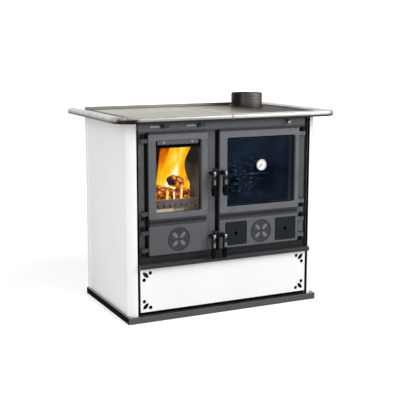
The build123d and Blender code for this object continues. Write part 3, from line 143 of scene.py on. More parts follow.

# ---------------------------------------------------------------- side panels
# Two pressed steel panels with rounded front corners close the body. They are fired with white
# vitreous enamel: smooth and glassy, with a faint orange peel a few millimetres across. The
# right panel's inner lip, which the camera sees past the cast front, is painted black as painted shade.


def both(tree, *masks):
    """What several masks have in common."""
    least = masks[0]
    for mask in masks[1:]:
        least = add(tree, "Math", {0: least, 1: mask}, operation="MINIMUM").outputs["Value"]
    return least


painted_shade_black = "#0B0B0D"
white_enamel, tree, shader, place, tone = enamelled(
    "white_vitreous_enamel_on_pressed_steel", "#FAFAFA", "#F6F6F7", 0.20, 0.0035)
x, y, _ = add(tree, "SeparateXYZ", {"Vector": place}).outputs
# The right panel's inner lip is painted black: painted shade in the joint.
shaded_lip = both(tree, step_mask(tree, aside(tree, place), 0.4115, 0.4105), step_mask(tree, x, 0.0, 0.1),
           step_mask(tree, y, -0.234, -0.236))
wire(tree, shader, {"Base Color": painted(tree, tone, painted_shade_black, shaded_lip)})
dress(white_enamel, "side_panel_left", "side_panel_right")

# ---------------------------------------------------------------- zinc sheet pieces
# Carcass walls, back panel, floors, runners and the ash pan are folded from galvanised steel.
# Hot-dip zinc freezes in spangles about a centimetre across, each with its own grey and gloss.
# The walls' front edges, which show beside the doors, are painted black as painted shade.


def opposite(tree, mask):
    """1 where a mask is 0, and 0 where it is 1."""
    return step_mask(tree, mask, 1.0, 0.0)


def zinc(name, light, dark):
    """Galvanised sheet: crystals of zinc, each a little lighter or darker than its neighbours."""
    material, tree, shader, place = begin(name)
    spangle, wander = 0.011, 0.016667
    warped = add(tree, "TexNoise", {"Vector": place, "Scale": 1.0 / wander, "Detail": 2.0}).outputs["Color"]
    moved = add(tree, "Mix", {0: 0.004, 6: place, 7: warped}, data_type="RGBA").outputs[2]
    crystals = add(tree, "TexVoronoi", {"Vector": moved, "Scale": 1.0 / spangle}).outputs["Color"]
    grey, dullness, _ = add(tree, "SeparateXYZ", {"Vector": crystals}).outputs
    tone = painted(tree, light, dark, grey)
    dullness = add(tree, "MapRange", {"Value": dullness, "To Min": 0.34, "To Max": 0.52}).outputs["Result"]
    wire(tree, shader, {
        "Base Color": tone, "Metallic": 1.0, "Roughness": dullness, "Normal": edge_mask(tree, 0.0008)[1],
    })
    return material, tree, shader, place, tone


def zinc_shaded_black_in_front(name, light, dark, black, behind, before):
    """Galvanised sheet whose front, from behind to before along Y, is painted black as painted shade."""
    material, tree, shader, place, tone = zinc(name, light, dark)
    y = add(tree, "SeparateXYZ", {"Vector": place}).outputs["Y"]
    front = step_mask(tree, y, behind, before)
    wire(tree, shader, {"Base Color": painted(tree, tone, black, front), "Metallic": opposite(tree, front)})
    return material


galvanised, *_ = zinc("galvanised_steel_sheet", "#B4B8BA", "#9A9EA1")
dress(galvanised, "back_panel", "drawer_heat_shield", "compartment_floor", "firebox_partition",
      "drawer_runners", "ash_pan")
# The walls' front edges are painted black: painted shade.
wall_zinc = zinc_shaded_black_in_front(
    "galvanised_sheet_shaded_black_at_the_front", "#B4B8BA", "#9A9EA1", "#0A0A0B", -0.195, -0.205)
dress(wall_zinc, "carcass_walls")

# ---------------------------------------------------------------- cast iron front
# One large frame is sand cast in grey iron and painted with anthracite stove paint. The sand
# leaves a fine tooth. Painted shade darkens its openings, rims, hollows, the gaps and strips by the
# doors and the frieze's top; the sills of its air slots have painted highlights.


def either(tree, *masks):
    """The strongest of several masks."""
    most = masks[0]
    for mask in masks[1:]:
        most = add(tree, "Math", {0: most, 1: mask}, operation="MAXIMUM").outputs["Value"]
    return most


def box_mask(tree, place, low, high, soft=0.002):
    """1 inside a box between two corners, falling to 0 over soft metres."""
    middle = [(a + b) / 2 for a, b in zip(low, high)]
    half = [(b - a) / 2 for a, b in zip(low, high)]
    away = add(tree, "VectorMath", {0: place, 1: middle}, operation="SUBTRACT").outputs["Vector"]
    away = add(tree, "VectorMath", {0: away}, operation="ABSOLUTE").outputs["Vector"]
    away = add(tree, "VectorMath", {0: away, 1: half}, operation="SUBTRACT").outputs["Vector"]
    parts = add(tree, "SeparateXYZ", {"Vector": away}).outputs
    return step_mask(tree, either(tree, parts["X"], parts["Y"], parts["Z"]), soft, -soft)


def front_mask(tree, place, across, up, soft, proud=-0.30):
    """1 inside a rectangle of the front, given across and up, from the depth called proud to behind it."""
    inside = -0.20
    return box_mask(tree, place, (across[0], proud, up[0]), (across[1], inside, up[1]), soft)


def cast_iron(name, skin, deep, worn, roughness=0.5, tooth=0.003):
    """Sand-cast iron under stove paint: a fine tooth, cloudy paint and paler rubbed edges."""
    material, tree, shader, place = begin(name)
    patches = cloud(tree, place, 0.05)
    specks = cloud(tree, place, tooth * 1.6, detail=4.0, low=0.42, high=0.72)
    edges, rounded = edge_mask(tree, 0.0022)
    tone = painted(tree, painted(tree, skin, deep, patches), deep, specks, 0.45)
    tone = painted(tree, tone, worn, edges, 0.6)
    sand = add(tree, "TexNoise", {"Vector": place, "Scale": 1.0 / tooth, "Detail": 4.0}).outputs["Fac"]
    bump = add(tree, "Bump", {"Height": sand, "Normal": rounded, "Strength": 0.35, "Distance": 0.0007})
    wire(tree, shader, {"Base Color": tone, "Roughness": roughness, "Normal": bump.outputs["Normal"]})
    return material, tree, shader, place, tone


doors_across = (-0.364, 0.358)
upper_foot, upper_top = 0.445, 0.790
# soot names the dark grey that is laid on below as painted shade.
soot = "#242628"
front_iron, tree, shader, place, tone = cast_iron(
    "sand_cast_iron_in_anthracite_stove_paint", "#595B5F", "#4E5054", "#6C6E72")
x, y, z = add(tree, "SeparateXYZ", {"Vector": place}).outputs
post = front_mask(tree, place, (-0.0900, -0.0520), (0.288, upper_top), 0.0008)
between_rows = both(tree, step_mask(tree, post, 0.9, 0.1),
                    front_mask(tree, place, doors_across, (0.408, 0.425), 0.0060))
below_doors = step_mask(tree, z, 0.2815, 0.2785)
shaded = either(tree, between_rows, below_doors)
hinge_strip = front_mask(tree, place, (-0.42, -0.361), (0.270, upper_foot), 0.012)
upper_strips = either(tree, front_mask(tree, place, (-0.42, -0.370), (upper_foot, upper_top), 0.004),
                      front_mask(tree, place, (0.3640, 0.420), (upper_foot, upper_top), 0.006))
over_doors = front_mask(tree, place, doors_across, (0.780, 0.7925), 0.002)
frieze = step_mask(tree, z, 0.794, 0.797)
# The frieze is painted dark at its top: painted shadow under the rail.
frieze_tone_with_rail_shadow = painted(tree, "#696B70", "#1E2023", step_mask(tree, z, 0.812, 0.828))
tone = painted(tree, tone, frieze_tone_with_rail_shadow, frieze)
# Painted shade: the gap over the doors, the post, the band between the rows and below the doors and the
# strips beside the doors are painted darker.
for shade, mask, share in ((soot, over_doors, 0.5), (soot, post, 0.12), ("#1A1C1E", shaded, 0.9),
                           (soot, hinge_strip, 0.80), (soot, upper_strips, 0.40)):
    tone = painted(tree, tone, shade, mask, share)
# Painted shade: the rims at the sides, the hollows, the frame behind the fire's glass, the frame's knuckles
# and the gaps by the hinges and latches are painted near black.
left_rim = both(tree, step_mask(tree, x, -0.3960, -0.3975), step_mask(tree, z, 0.450, 0.430))
right_rim = step_mask(tree, x, 0.3875, 0.3890)
hollows = front_mask(tree, place, (-0.406, 0.406), (0.2, 0.80), 0.0004, proud=-0.2408)
shade_behind_glass = front_mask(tree, place, (-0.3335, -0.1185), (upper_foot, 0.760), 0.0002, proud=-0.2423)
knuckles = both(tree, step_mask(tree, y, -0.2440, -0.2455),
                step_mask(tree, aside(tree, place), 0.3640, 0.3650))
hinge_gap = front_mask(tree, place, (-0.3700, -0.350), (0.272, upper_top), 0.0012)
latch_gap = front_mask(tree, place, (-0.0520, -0.030), (0.272, upper_top), 0.0008, proud=-0.2435)
black = either(tree, left_rim, right_rim, hollows, shade_behind_glass, knuckles, hinge_gap, latch_gap)
dulled = add(tree, "Math", {0: shaded, 1: 0.8}, operation="MULTIPLY").outputs["Value"]
clean = opposite(tree, either(tree, black, dulled))
gloss = add(tree, "MapRange", {"Value": clean, "To Min": 0.12, "To Max": 0.50}).outputs["Result"]
# Painted highlights: the sills of the two air slots are painted pale where they catch the light.
slot_length = 0.088
sill_highlights = either(tree, *[
    box_mask(tree, place, (left, -0.2425, 0.8040), (left + slot_length, -0.2360, 0.8055), 0.0003)
    for left in (-0.350, -0.187)])
wire(tree, shader, {
    "Base Color": painted(tree, painted(tree, tone, "#0A0B0D", black), "#A2A4A8", sill_highlights),
    "Specular IOR Level": gloss,
})
dress(front_iron, "front_frame")

# ---------------------------------------------------------------- ledge over the drawer
# A moulded cast ledge closes the front at its lower edge. It has the plinth's black enamel,
# painted darker here, and darker again towards the right, as painted shade under the doors.
ledge_enamel, tree, shader, place, tone = enamelled(
    "black_enamel_on_cast_ledge", "#323336", "#2A2B2D", 0.40, 0.004)
x = add(tree, "SeparateXYZ", {"Vector": place}).outputs["X"]
# Darker towards the right: painted shade.
shaded_to_the_right = step_mask(tree, x, -0.25, 0.15)
wire(tree, shader, {
    "Base Color": painted(tree, tone, "#2B2C2F", shaded_to_the_right), "Specular IOR Level": 0.2, "Coat Weight": 0.1,
})
dress(ledge_enamel, "ledge_trim")

# ---------------------------------------------------------------- hinge pins, keepers and straps
# Turned steel pins stand in the cast knuckles, a small cast block on the post holds each pair of
# latches, and flat straps under the hob carry the rail. All are blackened and oiled, so they
# catch small bright highlights.


def smooth(name, size, light, dark, width, rim=None):
    """A smooth finish in two near tones, patchy over size metres, whose eased edges can have their own."""
    material, tree, shader, place = begin(name)
    edges, rounded = edge_mask(tree, width)
    tone = painted(tree, light, dark, cloud(tree, place, size))
    if rim:
        tone = painted(tree, tone, rim, edges)
    wire(tree, shader, {"Base Color": tone, "Normal": rounded})
    return material, tree, shader, place, tone


black_iron, tree, shader, *_ = smooth("blackened_oiled_steel", 0.008, "#1B1C1E", "#2A2B2D", 0.0012, "#5A5B5D")
wire(tree, shader, {"Metallic": 0.5, "Roughness": 0.32})
dress(black_iron, "hinge_pins", "latch_keepers", "rail_brackets")

# ---------------------------------------------------------------- firebox: grate, bars and lining
# The fire stands on a ribbed grate between chamotte bricks. The castings are raw iron, burnt
# grey and matt, dusted with ash and with a drift of pale ash at the foot that has a faint painted glow.
raw_iron, tree, shader, place, tone = cast_iron(
    "raw_cast_iron_burnt_grey", "#786E66", "#665C54", "#9A8C7E", 0.62)
ash = cloud(tree, place, 0.018, low=0.45, high=0.7)
deep_drift = box_mask(tree, place, (-0.345, -0.245, 0.455), (-0.235, -0.2115, 0.4665), 0.0015)
thin_drift = box_mask(tree, place, (-0.25, -0.245, 0.455), (-0.190, -0.2115, 0.4645), 0.004)
thin_drift = add(tree, "Math", {0: thin_drift, 1: 0.5}, operation="MULTIPLY").outputs["Value"]
drift = either(tree, deep_drift, thin_drift)
# The drift is given a faint emission as painted light.
painted_glow_strength = add(tree, "Math", {0: drift, 1: 0.16}, operation="MULTIPLY").outputs["Value"]
wire(tree, shader, {
    "Base Color": painted(tree, painted(tree, tone, "#857A6F", ash), "#E4D8C8", drift),
    "Emission Color": "#E8CDA8", "Emission Strength": painted_glow_strength,
})
dress(raw_iron, "grate_frame", "fire_grate", "log_guard", "flue_divider", "damper_valve")

# Pressed chamotte is matt and gritty. Its courses meet in dark joints, and smoke blackens the
# upper ones with a wavy edge.
course, half_joint, wave = 0.149, 0.0015, 0.071429
chamotte, tree, shader, place = begin("pressed_chamotte_firebrick")
grit = cloud(tree, place, 0.004, detail=5.0, low=0.4, high=0.7)
clay = painted(tree, painted(tree, "#828E9A", "#6A7682", cloud(tree, place, 0.06)), "#4C5660", grit)
height = add(tree, "SeparateXYZ", {"Vector": place}).outputs["Z"]
wavy = add(tree, "TexNoise", {"Vector": place, "Scale": 1.0 / wave, "Detail": 3.0}).outputs["Fac"]
wavy = add(tree, "Math", {0: wavy, 1: 0.12, 2: height}, operation="MULTIPLY_ADD").outputs["Value"]
clay = painted(tree, clay, "#0A0C12", step_mask(tree, wavy, 0.60, 0.69))
joints = add(tree, "Math", {0: height, 1: course}, operation="PINGPONG").outputs["Value"]
joints = add(tree, "Math", {0: joints, 1: half_joint}, operation="LESS_THAN").outputs["Value"]
rough = add(tree, "Bump", {"Height": grit, "Strength": 0.5, "Distance": 0.001}).outputs["Normal"]
wire(tree, shader, {"Base Color": painted(tree, clay, "#26262A", joints), "Roughness": 0.92, "Normal": rough})
dress(chamotte, "firebrick_lining")

# ---------------------------------------------------------------- fire: logs, embers and flames
# The stove is shown alight: three split beech logs lie on a bed of embers with a fourth on top.
# Their charred sides glow in patches, and flames rise past the upper edge of the opening.


def fresh_start():
    """Object mode with nothing selected, so that the next primitive is worked on alone."""
    if bpy.context.object and bpy.context.object.mode != "OBJECT":
        bpy.ops.object.mode_set(mode="OBJECT")
    bpy.ops.object.select_all(action="DESELECT")


def settle():
    """Writes the active piece's place, turn and size into its mesh."""
    bpy.ops.object.transform_apply(location=True, rotation=True, scale=True)


def finished(name, material, angle):
    """Names the active piece, gives it its material and hands it to the stove's body."""
    settle()
    bpy.ops.object.shade_smooth_by_angle(angle=radians(angle))
    piece = bpy.context.object
    piece.name = piece.data.name = name
    piece.data.materials.clear()
    piece.data.materials.append(material)
    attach(piece, "stove_body")


def rounder(levels):
    """Subdivides the active piece smoothly."""
    soft = bpy.context.object.modifiers.new("soft", "SUBSURF")
    soft.levels = soft.render_levels = levels
    bpy.ops.object.modifier_apply(modifier="soft")


def roughened(size, depth):
    """Rounds the active piece and pushes its skin in and out over patches of that size."""
    rounder(1)
    piece = bpy.context.object
    lumps = bpy.data.textures.new(piece.name + "_lumps", "CLOUDS")
    lumps.noise_scale = size
    push = piece.modifiers.new("lumps", "DISPLACE")
    push.texture = lumps
    push.texture_coords = "GLOBAL"
    push.strength = depth
    bpy.ops.object.modifier_apply(modifier="lumps")


def drawn_up(foot, stations, flat):
    """A closed form drawn up from its foot through its stations, each (height, radius, drift in X)."""
    foot_x, foot_y, foot_z = foot
    height, radius, drift = stations[0]
    fresh_start()
    bpy.ops.mesh.primitive_circle_add(
        vertices=14, radius=radius, fill_type="NGON", location=(foot_x + drift, foot_y, foot_z + height))
    bpy.ops.object.mode_set(mode="EDIT")
    bpy.ops.mesh.select_all(action="SELECT")
    bpy.ops.transform.resize(value=(1, flat, 1), center_override=(foot_x + drift, foot_y, 0))
    for new_height, new_radius, new_drift in stations[1:]:
        bpy.ops.mesh.extrude_region_move(
            TRANSFORM_OT_translate={"value": (new_drift - drift, 0, new_height - height)})
        share = new_radius / radius
        bpy.ops.transform.resize(value=(share, share, 1), center_override=(foot_x + new_drift, foot_y, 0))
        height, radius, drift = new_height, new_radius, new_drift
    bpy.ops.mesh.select_all(action="SELECT")
    bpy.ops.mesh.normals_make_consistent(inside=False)
    bpy.ops.object.mode_set(mode="OBJECT")
    return bpy.context.object


def join(pieces):
    """Joins pieces of one kind into the first of them, which stays active."""
    fresh_start()
    for piece in pieces:
        piece.select_set(True)
    bpy.context.view_layer.objects.active = pieces[0]
    bpy.ops.object.join()


def inside_cells(tree, place, cell, edge, middle):
    """0 at the edges of a network of cells and 1 in their middles; edge and middle are shares of a cell."""
    gap = add(tree, "TexVoronoi", {"Vector": place, "Scale": 1.0 / cell}, feature="DISTANCE_TO_EDGE")
    return step_mask(tree, gap.outputs["Distance"], edge, middle)


# Charred beech cracks into black-edged cells, drawn out along the grain. Their middles glow where
# the log is hot: in patches, high on the lower logs, and on the right side of the one on top.
charred, tree, shader, place = begin("charred_and_glowing_beech")
grain = add(tree, "Mapping", {"Vector": place, "Scale": (1.0, 0.35, 1.0)}).outputs["Vector"]
cells = inside_cells(tree, grain, 0.023810, 0.01, 0.14)
patches = cloud(tree, place, 0.030, detail=1.5, low=0.40, high=0.60)
x, _, z = add(tree, "SeparateXYZ", {"Vector": place}).outputs
top_log = both(tree, step_mask(tree, z, 0.540, 0.546), step_mask(tree, x, -0.222, -0.214))
lit_sides = either(tree, step_mask(tree, z, 0.518, 0.534),
                   both(tree, top_log, step_mask(tree, x, -0.194, -0.182)))
charcoal = both(tree, top_log, step_mask(tree, x, -0.190, -0.200))
lit_sides = add(tree, "Math", {0: lit_sides, 1: 0.85}, operation="MULTIPLY").outputs["Value"]
hot = both(tree, cells, either(tree, patches, lit_sides), step_mask(tree, charcoal, 0.9, 0.2))
glow = add(tree, "ValToRGB", {"Fac": hot}, stops=(
    (0.0, "#120501"), (1.0, "#FFB040"), (0.35, "#682804"), (0.7, "#D8660A"))).outputs["Color"]
wire(tree, shader, {
    "Base Color": painted(tree, "#0C0705", "#7A4420", hot), "Roughness": 0.85, "Specular IOR Level": 0.2,
    "Emission Color": glow, "Emission Strength": 0.9,
})
logs, log_length, log_y = [], 0.20, -0.080
for log_x, log_z, lean, radius in (
        (-0.254, 0.524, 4, 0.027), (-0.200, 0.512, -3, 0.023), (-0.150, 0.514, 3, 0.023),
        (-0.187, 0.564, 8, 0.024)):
    fresh_start()
    bpy.ops.mesh.primitive_cylinder_add(
        vertices=12, radius=radius, depth=log_length, location=(log_x, log_y, log_z),
        rotation=(radians(90), 0, radians(lean)))
    bpy.ops.object.mode_set(mode="EDIT")
    bpy.ops.mesh.select_all(action="SELECT")
    bpy.ops.mesh.subdivide(number_cuts=2)
    bpy.ops.object.mode_set(mode="OBJECT")
    settle()
    roughened(0.022, 0.016)
    logs.append(bpy.context.object)
join(logs)
finished("burning_logs", charred, 50)

# Embers are coals about 13 mm across, grey with ash. The gaps between them glow.
embers, tree, shader, place = begin("wood_embers_under_ash")
gaps = inside_cells(tree, place, 0.013333, 0.14, 0.02)
glow = add(tree, "ValToRGB", {"Fac": gaps}, stops=(
    (0.0, "#2A0D04"), (1.0, "#FFA21E"), (0.45, "#B23A06"))).outputs["Color"]
y = add(tree, "SeparateXYZ", {"Vector": place}).outputs["Y"]
under_the_logs = step_mask(tree, y, -0.15, -0.11)
strength = add(tree, "Math", {0: under_the_logs, 1: 0.6}, operation="MULTIPLY").outputs["Value"]
wire(tree, shader, {
    "Base Color": painted(tree, "#6E665E", "#8A3A12", gaps), "Roughness": 0.95, "Emission Color": glow,
    "Emission Strength": strength,
})
bed_width, bed_depth, bed_middle = 0.286, 0.40, (-0.217, 0.010, 0.474)
fresh_start()
bpy.ops.mesh.primitive_grid_add(x_subdivisions=16, y_subdivisions=24, size=1.0, location=bed_middle)
bpy.ops.transform.resize(value=(bed_width, bed_depth, 1.0), center_override=bed_middle)
settle()
roughened(0.02, 0.018)
finished("ember_bed", embers, 60)

# The fire's colour follows its heat: most in the middle of the leaning body of flame, less
# towards its sides, which widen and narrow with height, and less at the top.
wisp = 0.020833
flame, tree, shader, place = begin("burning_wood_gas")
leaning = add(tree, "Mapping", {"Vector": place, "Rotation": (0.0, radians(-14), 0.0)}).outputs["Vector"]
streaks = add(tree, "Mapping", {"Vector": leaning, "Scale": (1.0, 0.4, 0.22)}).outputs["Vector"]
wisps = add(tree, "TexNoise", {"Vector": streaks, "Scale": 1.0 / wisp, "Detail": 3.0, "Distortion": 0.6})
wisps = wisps.outputs["Fac"]
x, _, z = add(tree, "SeparateXYZ", {"Vector": place}).outputs
height = step_mask(tree, z, 0.50, 0.705)
middle = add(tree, "MapRange", {"Value": height, "To Min": -0.232, "To Max": -0.146}).outputs["Result"]
reach = add(tree, "MapRange", {"Value": height, "To Min": 0.105, "To Max": 0.086}).outputs["Result"]
right_of = add(tree, "Math", {0: x, 1: middle}, operation="SUBTRACT").outputs["Value"]
sides = [add(tree, "Math", {0: right_of, 1: slope}, operation="MULTIPLY").outputs["Value"]
         for slope in (-1.0, 0.62)]
away = either(tree, *sides)
cold = add(tree, "Math", {0: away, 1: reach}, operation="DIVIDE").outputs["Value"]
cold = add(tree, "Math", {0: height, 1: 0.34, 2: cold}, operation="MULTIPLY_ADD").outputs["Value"]
heat = add(tree, "Math", {0: 1.07, 1: cold}, operation="SUBTRACT").outputs["Value"]
wander = add(tree, "Math", {0: wisps, 1: 0.5}, operation="SUBTRACT").outputs["Value"]
heat = add(tree, "Math", {0: wander, 1: 1.3, 2: heat}, operation="MULTIPLY_ADD", use_clamp=True)
heat = heat.outputs["Value"]
colours = add(tree, "ValToRGB", {"Fac": heat}, stops=(
    (0.0, "#B44200"), (1.0, "#FFF6DC"), (0.20, "#E27200"), (0.42, "#FFAE00"), (0.66, "#FFCE20"),
    (0.86, "#FFE880"))).outputs["Color"]
wire(tree, shader, {
    "Base Color": "#000000", "Roughness": 1.0, "Specular IOR Level": 0.0, "Emission Color": colours,
    "Emission Strength": 1.08,
})
outline = ((0.0, 0.60, 0.0), (0.10, 1.0, 0.0), (0.25, 0.85, -0.8), (0.45, 0.80, -1.25), (0.62, 0.98, 0.15),
           (0.78, 0.80, 0.6), (0.92, 0.40, 0.8), (1.0, 0.08, 1.0))
flames = []
for foot, wide, tall, lean, waist in (
        ((-0.236, -0.085, 0.505), 0.026, 0.30, 0.038, 0.002),
        ((-0.208, -0.075, 0.510), 0.029, 0.30, 0.020, 0.005),
        ((-0.178, -0.085, 0.520), 0.028, 0.29, 0.012, 0.008),
        ((-0.150, -0.090, 0.525), 0.024, 0.28, 0.006, 0.012),
        ((-0.116, -0.085, 0.512), 0.022, 0.30, 0.003, 0.024),
        ((-0.138, -0.150, 0.514), 0.010, 0.056, 0.004, 0.0),
        ((-0.249, -0.190, 0.497), 0.006, 0.046, 0.002, 0.0),
        ((-0.217, -0.190, 0.497), 0.005, 0.038, -0.002, 0.0),
        ((-0.184, -0.190, 0.497), 0.006, 0.056, 0.002, 0.0)):
    stations = [(tall * share, wide * girth, lean * share + waist * sway) for share, girth, sway in outline]
    flames.append(drawn_up(foot, stations, 0.6))
    rounder(2)
join(flames)
finished("flames", flame, 80)

# ---------------------------------------------------------------- oven: box, rack and ducts
# The oven is a welded steel box, fired inside with dark blue-black enamel that is sprinkled
# with pale specks. A chrome-plated wire rack, mirror-bright under a thin film, rests on its
# pressed guides. The specks are drawn 2 mm wide and 7 mm apart, coarser than real ones, to show.
speck_spacing = 0.0071429
oven_enamel, tree, shader, place = begin("speckled_blue_black_oven_enamel")
flecks = add(tree, "TexVoronoi", {"Vector": place, "Scale": 1.0 / speck_spacing}).outputs["Distance"]
flecks = add(tree, "Math", {0: flecks, 1: 0.16}, operation="LESS_THAN").outputs["Value"]
wire(tree, shader, {
    "Base Color": painted(tree, "#141A24", "#5A6676", flecks), "Roughness": 0.26, "IOR": 1.52,
    "Coat Weight": 0.3, "Normal": edge_mask(tree, 0.0012)[1],
})
dress(oven_enamel, "oven_box")

chrome, tree, shader, place = begin("bright_chrome_plated_wire")
film = cloud(tree, place, 0.02)
dullness = add(tree, "MapRange", {"Value": film, "To Min": 0.07, "To Max": 0.18}).outputs["Result"]
wire(tree, shader, {
    "Base Color": painted(tree, "#E4E5E6", "#D2D3D5", film), "Metallic": 1.0, "Roughness": dullness,
})
dress(chrome, "oven_rack")

# ---------------------------------------------------------------- hob frame and back rim
# The hob sits in a cast iron frame whose rim is ground flat and left darker than the plates. A
# low lip is screwed along its back edge. The marks of grinding are drawn 3 mm apart, coarser than
# real ones, to show.


def ground_iron(name, light, dark, rim, corners, roughness):
    """Cast iron ground flat: fine scratches across, cloudy tempering, browner to the front and the right.

    corners are the two corners of the box outside which the piece has the tone of its rim.
    """
    material, tree, shader, place = begin(name)
    mark = 0.003125
    drawn = add(tree, "Mapping", {"Vector": place, "Scale": (0.06, 1.0, 1.0)}).outputs["Vector"]
    scratches = add(tree, "TexNoise", {"Vector": drawn, "Scale": 1.0 / mark, "Detail": 3.0}).outputs["Fac"]
    patches = cloud(tree, place, 0.11, low=0.40, high=0.62)
    pores = cloud(tree, place, 0.006, detail=4.0, low=0.5, high=0.75)
    x, y, _ = add(tree, "SeparateXYZ", {"Vector": place}).outputs
    forward = step_mask(tree, y, 0.12, -0.34)
    forward = add(tree, "Math", {0: forward, 1: 0.25}, operation="MULTIPLY").outputs["Value"]
    browner_front_and_right = either(tree, forward, step_mask(tree, x, 0.02, 0.27))
    tone = painted(tree, light, dark, patches, 0.6)
    tone = painted(tree, tone, dark, pores, 0.5)
    tone = painted(tree, rim, painted(tree, tone, rim, browner_front_and_right), box_mask(tree, place, *corners, 0.006))
    dullness = add(tree, "MapRange", {
        "Value": scratches, "To Min": roughness - 0.08, "To Max": roughness + 0.1}).outputs["Result"]
    edges, rounded = edge_mask(tree, 0.0014)
    bump = add(tree, "Bump", {"Height": scratches, "Normal": rounded, "Strength": 0.12, "Distance": 0.0004})
    wire(tree, shader, {
        "Base Color": painted(tree, tone, rim, edges), "Metallic": 0.75, "Normal": bump.outputs["Normal"],
        "Roughness": dullness,
        "Specular Tint": painted(tree, "#FFFEFA", "#6C665F", browner_front_and_right),
    })
    return material


everywhere = (-0.5, -0.5, 0.8), (0.5, 0.5, 0.9)
dress(ground_iron("ground_cast_iron_hob_rim", "#5E5751", "#4E4741", "#3F3934", everywhere, 0.45), "hob_frame")
dress(ground_iron("ground_cast_iron_back_lip", "#9C9690", "#8A847E", "#7C7670", everywhere, 0.5), "back_rim")

# ---------------------------------------------------------------- hob plates, ring and lid
# Two plates of cast iron, ground bright, lie loose in the frame. The left one has a ring and a
# lid over the fire that lift off with a hook; heat has tempered them to a warm grey.
left_half = (-0.4, -0.24, 0.8), (0.0, 0.26, 0.9)
for plate, corners in (
        ("hob_plate_left", ((-0.413, -0.239, 0.8), (-0.004, 0.255, 0.9))),
        ("hob_plate_right", ((0.004, -0.239, 0.8), (0.413, 0.255, 0.9))),
        ("hob_ring", left_half), ("hob_lid", left_half)):
    dress(ground_iron("ground_cast_iron_" + plate, "#B8B4AE", "#A6A19B", "#66605A", corners, 0.36), plate)

# ---------------------------------------------------------------- rail round the hob
# A flat steel bar is bent round the hob in two halves that butt at the front. It is ground and
# polished and duller to the front left; its front corners and underside are painted dark as painted
# shade and reflection. Six straps carry it.
polished, tree, shader, place = begin("polished_steel_bar")
handled = cloud(tree, place, 0.07)
x, y, z = add(tree, "SeparateXYZ", {"Vector": place}).outputs
# The underside is painted dark, darkest to the front: painted shade.
underside_shade_tone = painted(tree, "#86827D", "#3A3836", step_mask(tree, y, -0.20, -0.28))
flecks = cloud(tree, place, 0.012, detail=2.0, low=0.50, high=0.60)
flecks = add(tree, "Math", {0: flecks, 1: 0.75}, operation="MULTIPLY").outputs["Value"]
# The front corners are painted dark: painted shade and reflection.
left_corner_painted_dark = both(tree, step_mask(tree, x, -0.418, -0.436), step_mask(tree, y, -0.282, -0.294),
                   either(tree, flecks, step_mask(tree, z, 0.8540, 0.8480)))
right_corner_painted_dark = both(tree, step_mask(tree, x, 0.468, 0.490), step_mask(tree, y, -0.270, -0.290))
dull = both(tree, step_mask(tree, x, 0.10, -0.15), step_mask(tree, y, -0.22, -0.30))
seam = box_mask(tree, place, (-0.0145, -0.4, 0.8), (-0.0055, -0.2, 0.9), 0.001)
under = step_mask(tree, z, 0.8440, 0.8395)
steel = painted(tree, "#D2D0CC", "#C0BDB8", handled)
for shade, mask, share in (
        ("#8E8B87", dull, 0.55), (underside_shade_tone, under, 1.0), ("#2E2824", left_corner_painted_dark, 1.0),
        ("#5A5651", right_corner_painted_dark, 0.6), ("#6A6662", seam, 0.6)):
    steel = painted(tree, steel, shade, mask, share)
dullness = add(tree, "MapRange", {"Value": handled, "To Min": 0.34, "To Max": 0.46}).outputs["Result"]
wire(tree, shader, {
    "Base Color": steel, "Metallic": 1.0, "Roughness": dullness, "Normal": edge_mask(tree, 0.0016)[1],
})
dress(polished, "rail_left", "rail_right")

# ---------------------------------------------------------------- flue collar
# The smoke leaves through a short cast collar, bolted down over the hole in the right plate. It
# is black-leaded, with a painted highlight down its right side and painted shade at its right edge,
# turned lines round it and a scorched foot.
collar_iron, tree, shader, place, _ = cast_iron(
    "black_leaded_cast_collar", "#2C2A29", "#211F1E", "#45413E", 0.30, 0.002)
line_spacing, highlight_direction = 0.0065, (0.900, -0.435, 0.0)
z = add(tree, "SeparateXYZ", {"Vector": place}).outputs["Z"]
rubbed = add(tree, "VectorMath", {0: place, 1: highlight_direction}, operation="DOT_PRODUCT").outputs["Value"]
# The rubbed mask lays a broad painted highlight down the right side, then painted shade at the right edge.
tone = painted(tree, "#1C1C1C", "#86817D", step_mask(tree, rubbed, 0.185, 0.262))
tone = painted(tree, tone, "#2A2827", step_mask(tree, rubbed, 0.272, 0.288))
lines = add(tree, "Math", {0: z, 1: line_spacing}, operation="PINGPONG").outputs["Value"]
tone = painted(tree, tone, "#121010", step_mask(tree, lines, 0.0032, 0.0), 0.4)
tone = painted(tree, tone, "#2E1C17", step_mask(tree, z, 0.872, 0.852), 0.6)
wire(tree, shader, {"Base Color": tone, "Metallic": 0.8})
dress(collar_iron, "flue_collar", "collar_bolts")

# ---------------------------------------------------------------- doors
# Four cast doors hang on the front: the same painted grey iron, sanded smoother and a shade
# paler above than below. Painted shade darkens the rosettes' bands, dots and sunk grounds, the doors'
# left edges and sides and the windows' rims; the rosettes' proud parts have a painted highlight. The
# lower right door carries two square insets of sheet, each held by one sunk screw.


def from_axis(tree, place, x, z):
    """The distance from a line that runs along Y through x and z."""
    flat = add(tree, "VectorMath", {0: place, 1: (1.0, 0.0, 1.0)}, operation="MULTIPLY").outputs["Vector"]
    return add(tree, "VectorMath", {0: flat, 1: (x, 0.0, z)}, operation="DISTANCE").outputs["Value"]


rosette_z, rosette_xs = 0.342, (-0.226, 0.165)
stud_reach = 0.031
dark_stile = "#45474A"
door_iron, tree, shader, place, tone = cast_iron(
    "sand_cast_iron_door_in_pale_anthracite", "#636569", "#595B5F", "#7C7E83", 0.46)
x, y, z = add(tree, "SeparateXYZ", {"Vector": place}).outputs
lower_tone = painted(tree, "#4A4C4F", "#505257", step_mask(tree, x, -0.280, -0.120))
fire_rail = both(tree, step_mask(tree, z, 0.460, 0.456), step_mask(tree, x, -0.080, -0.090))
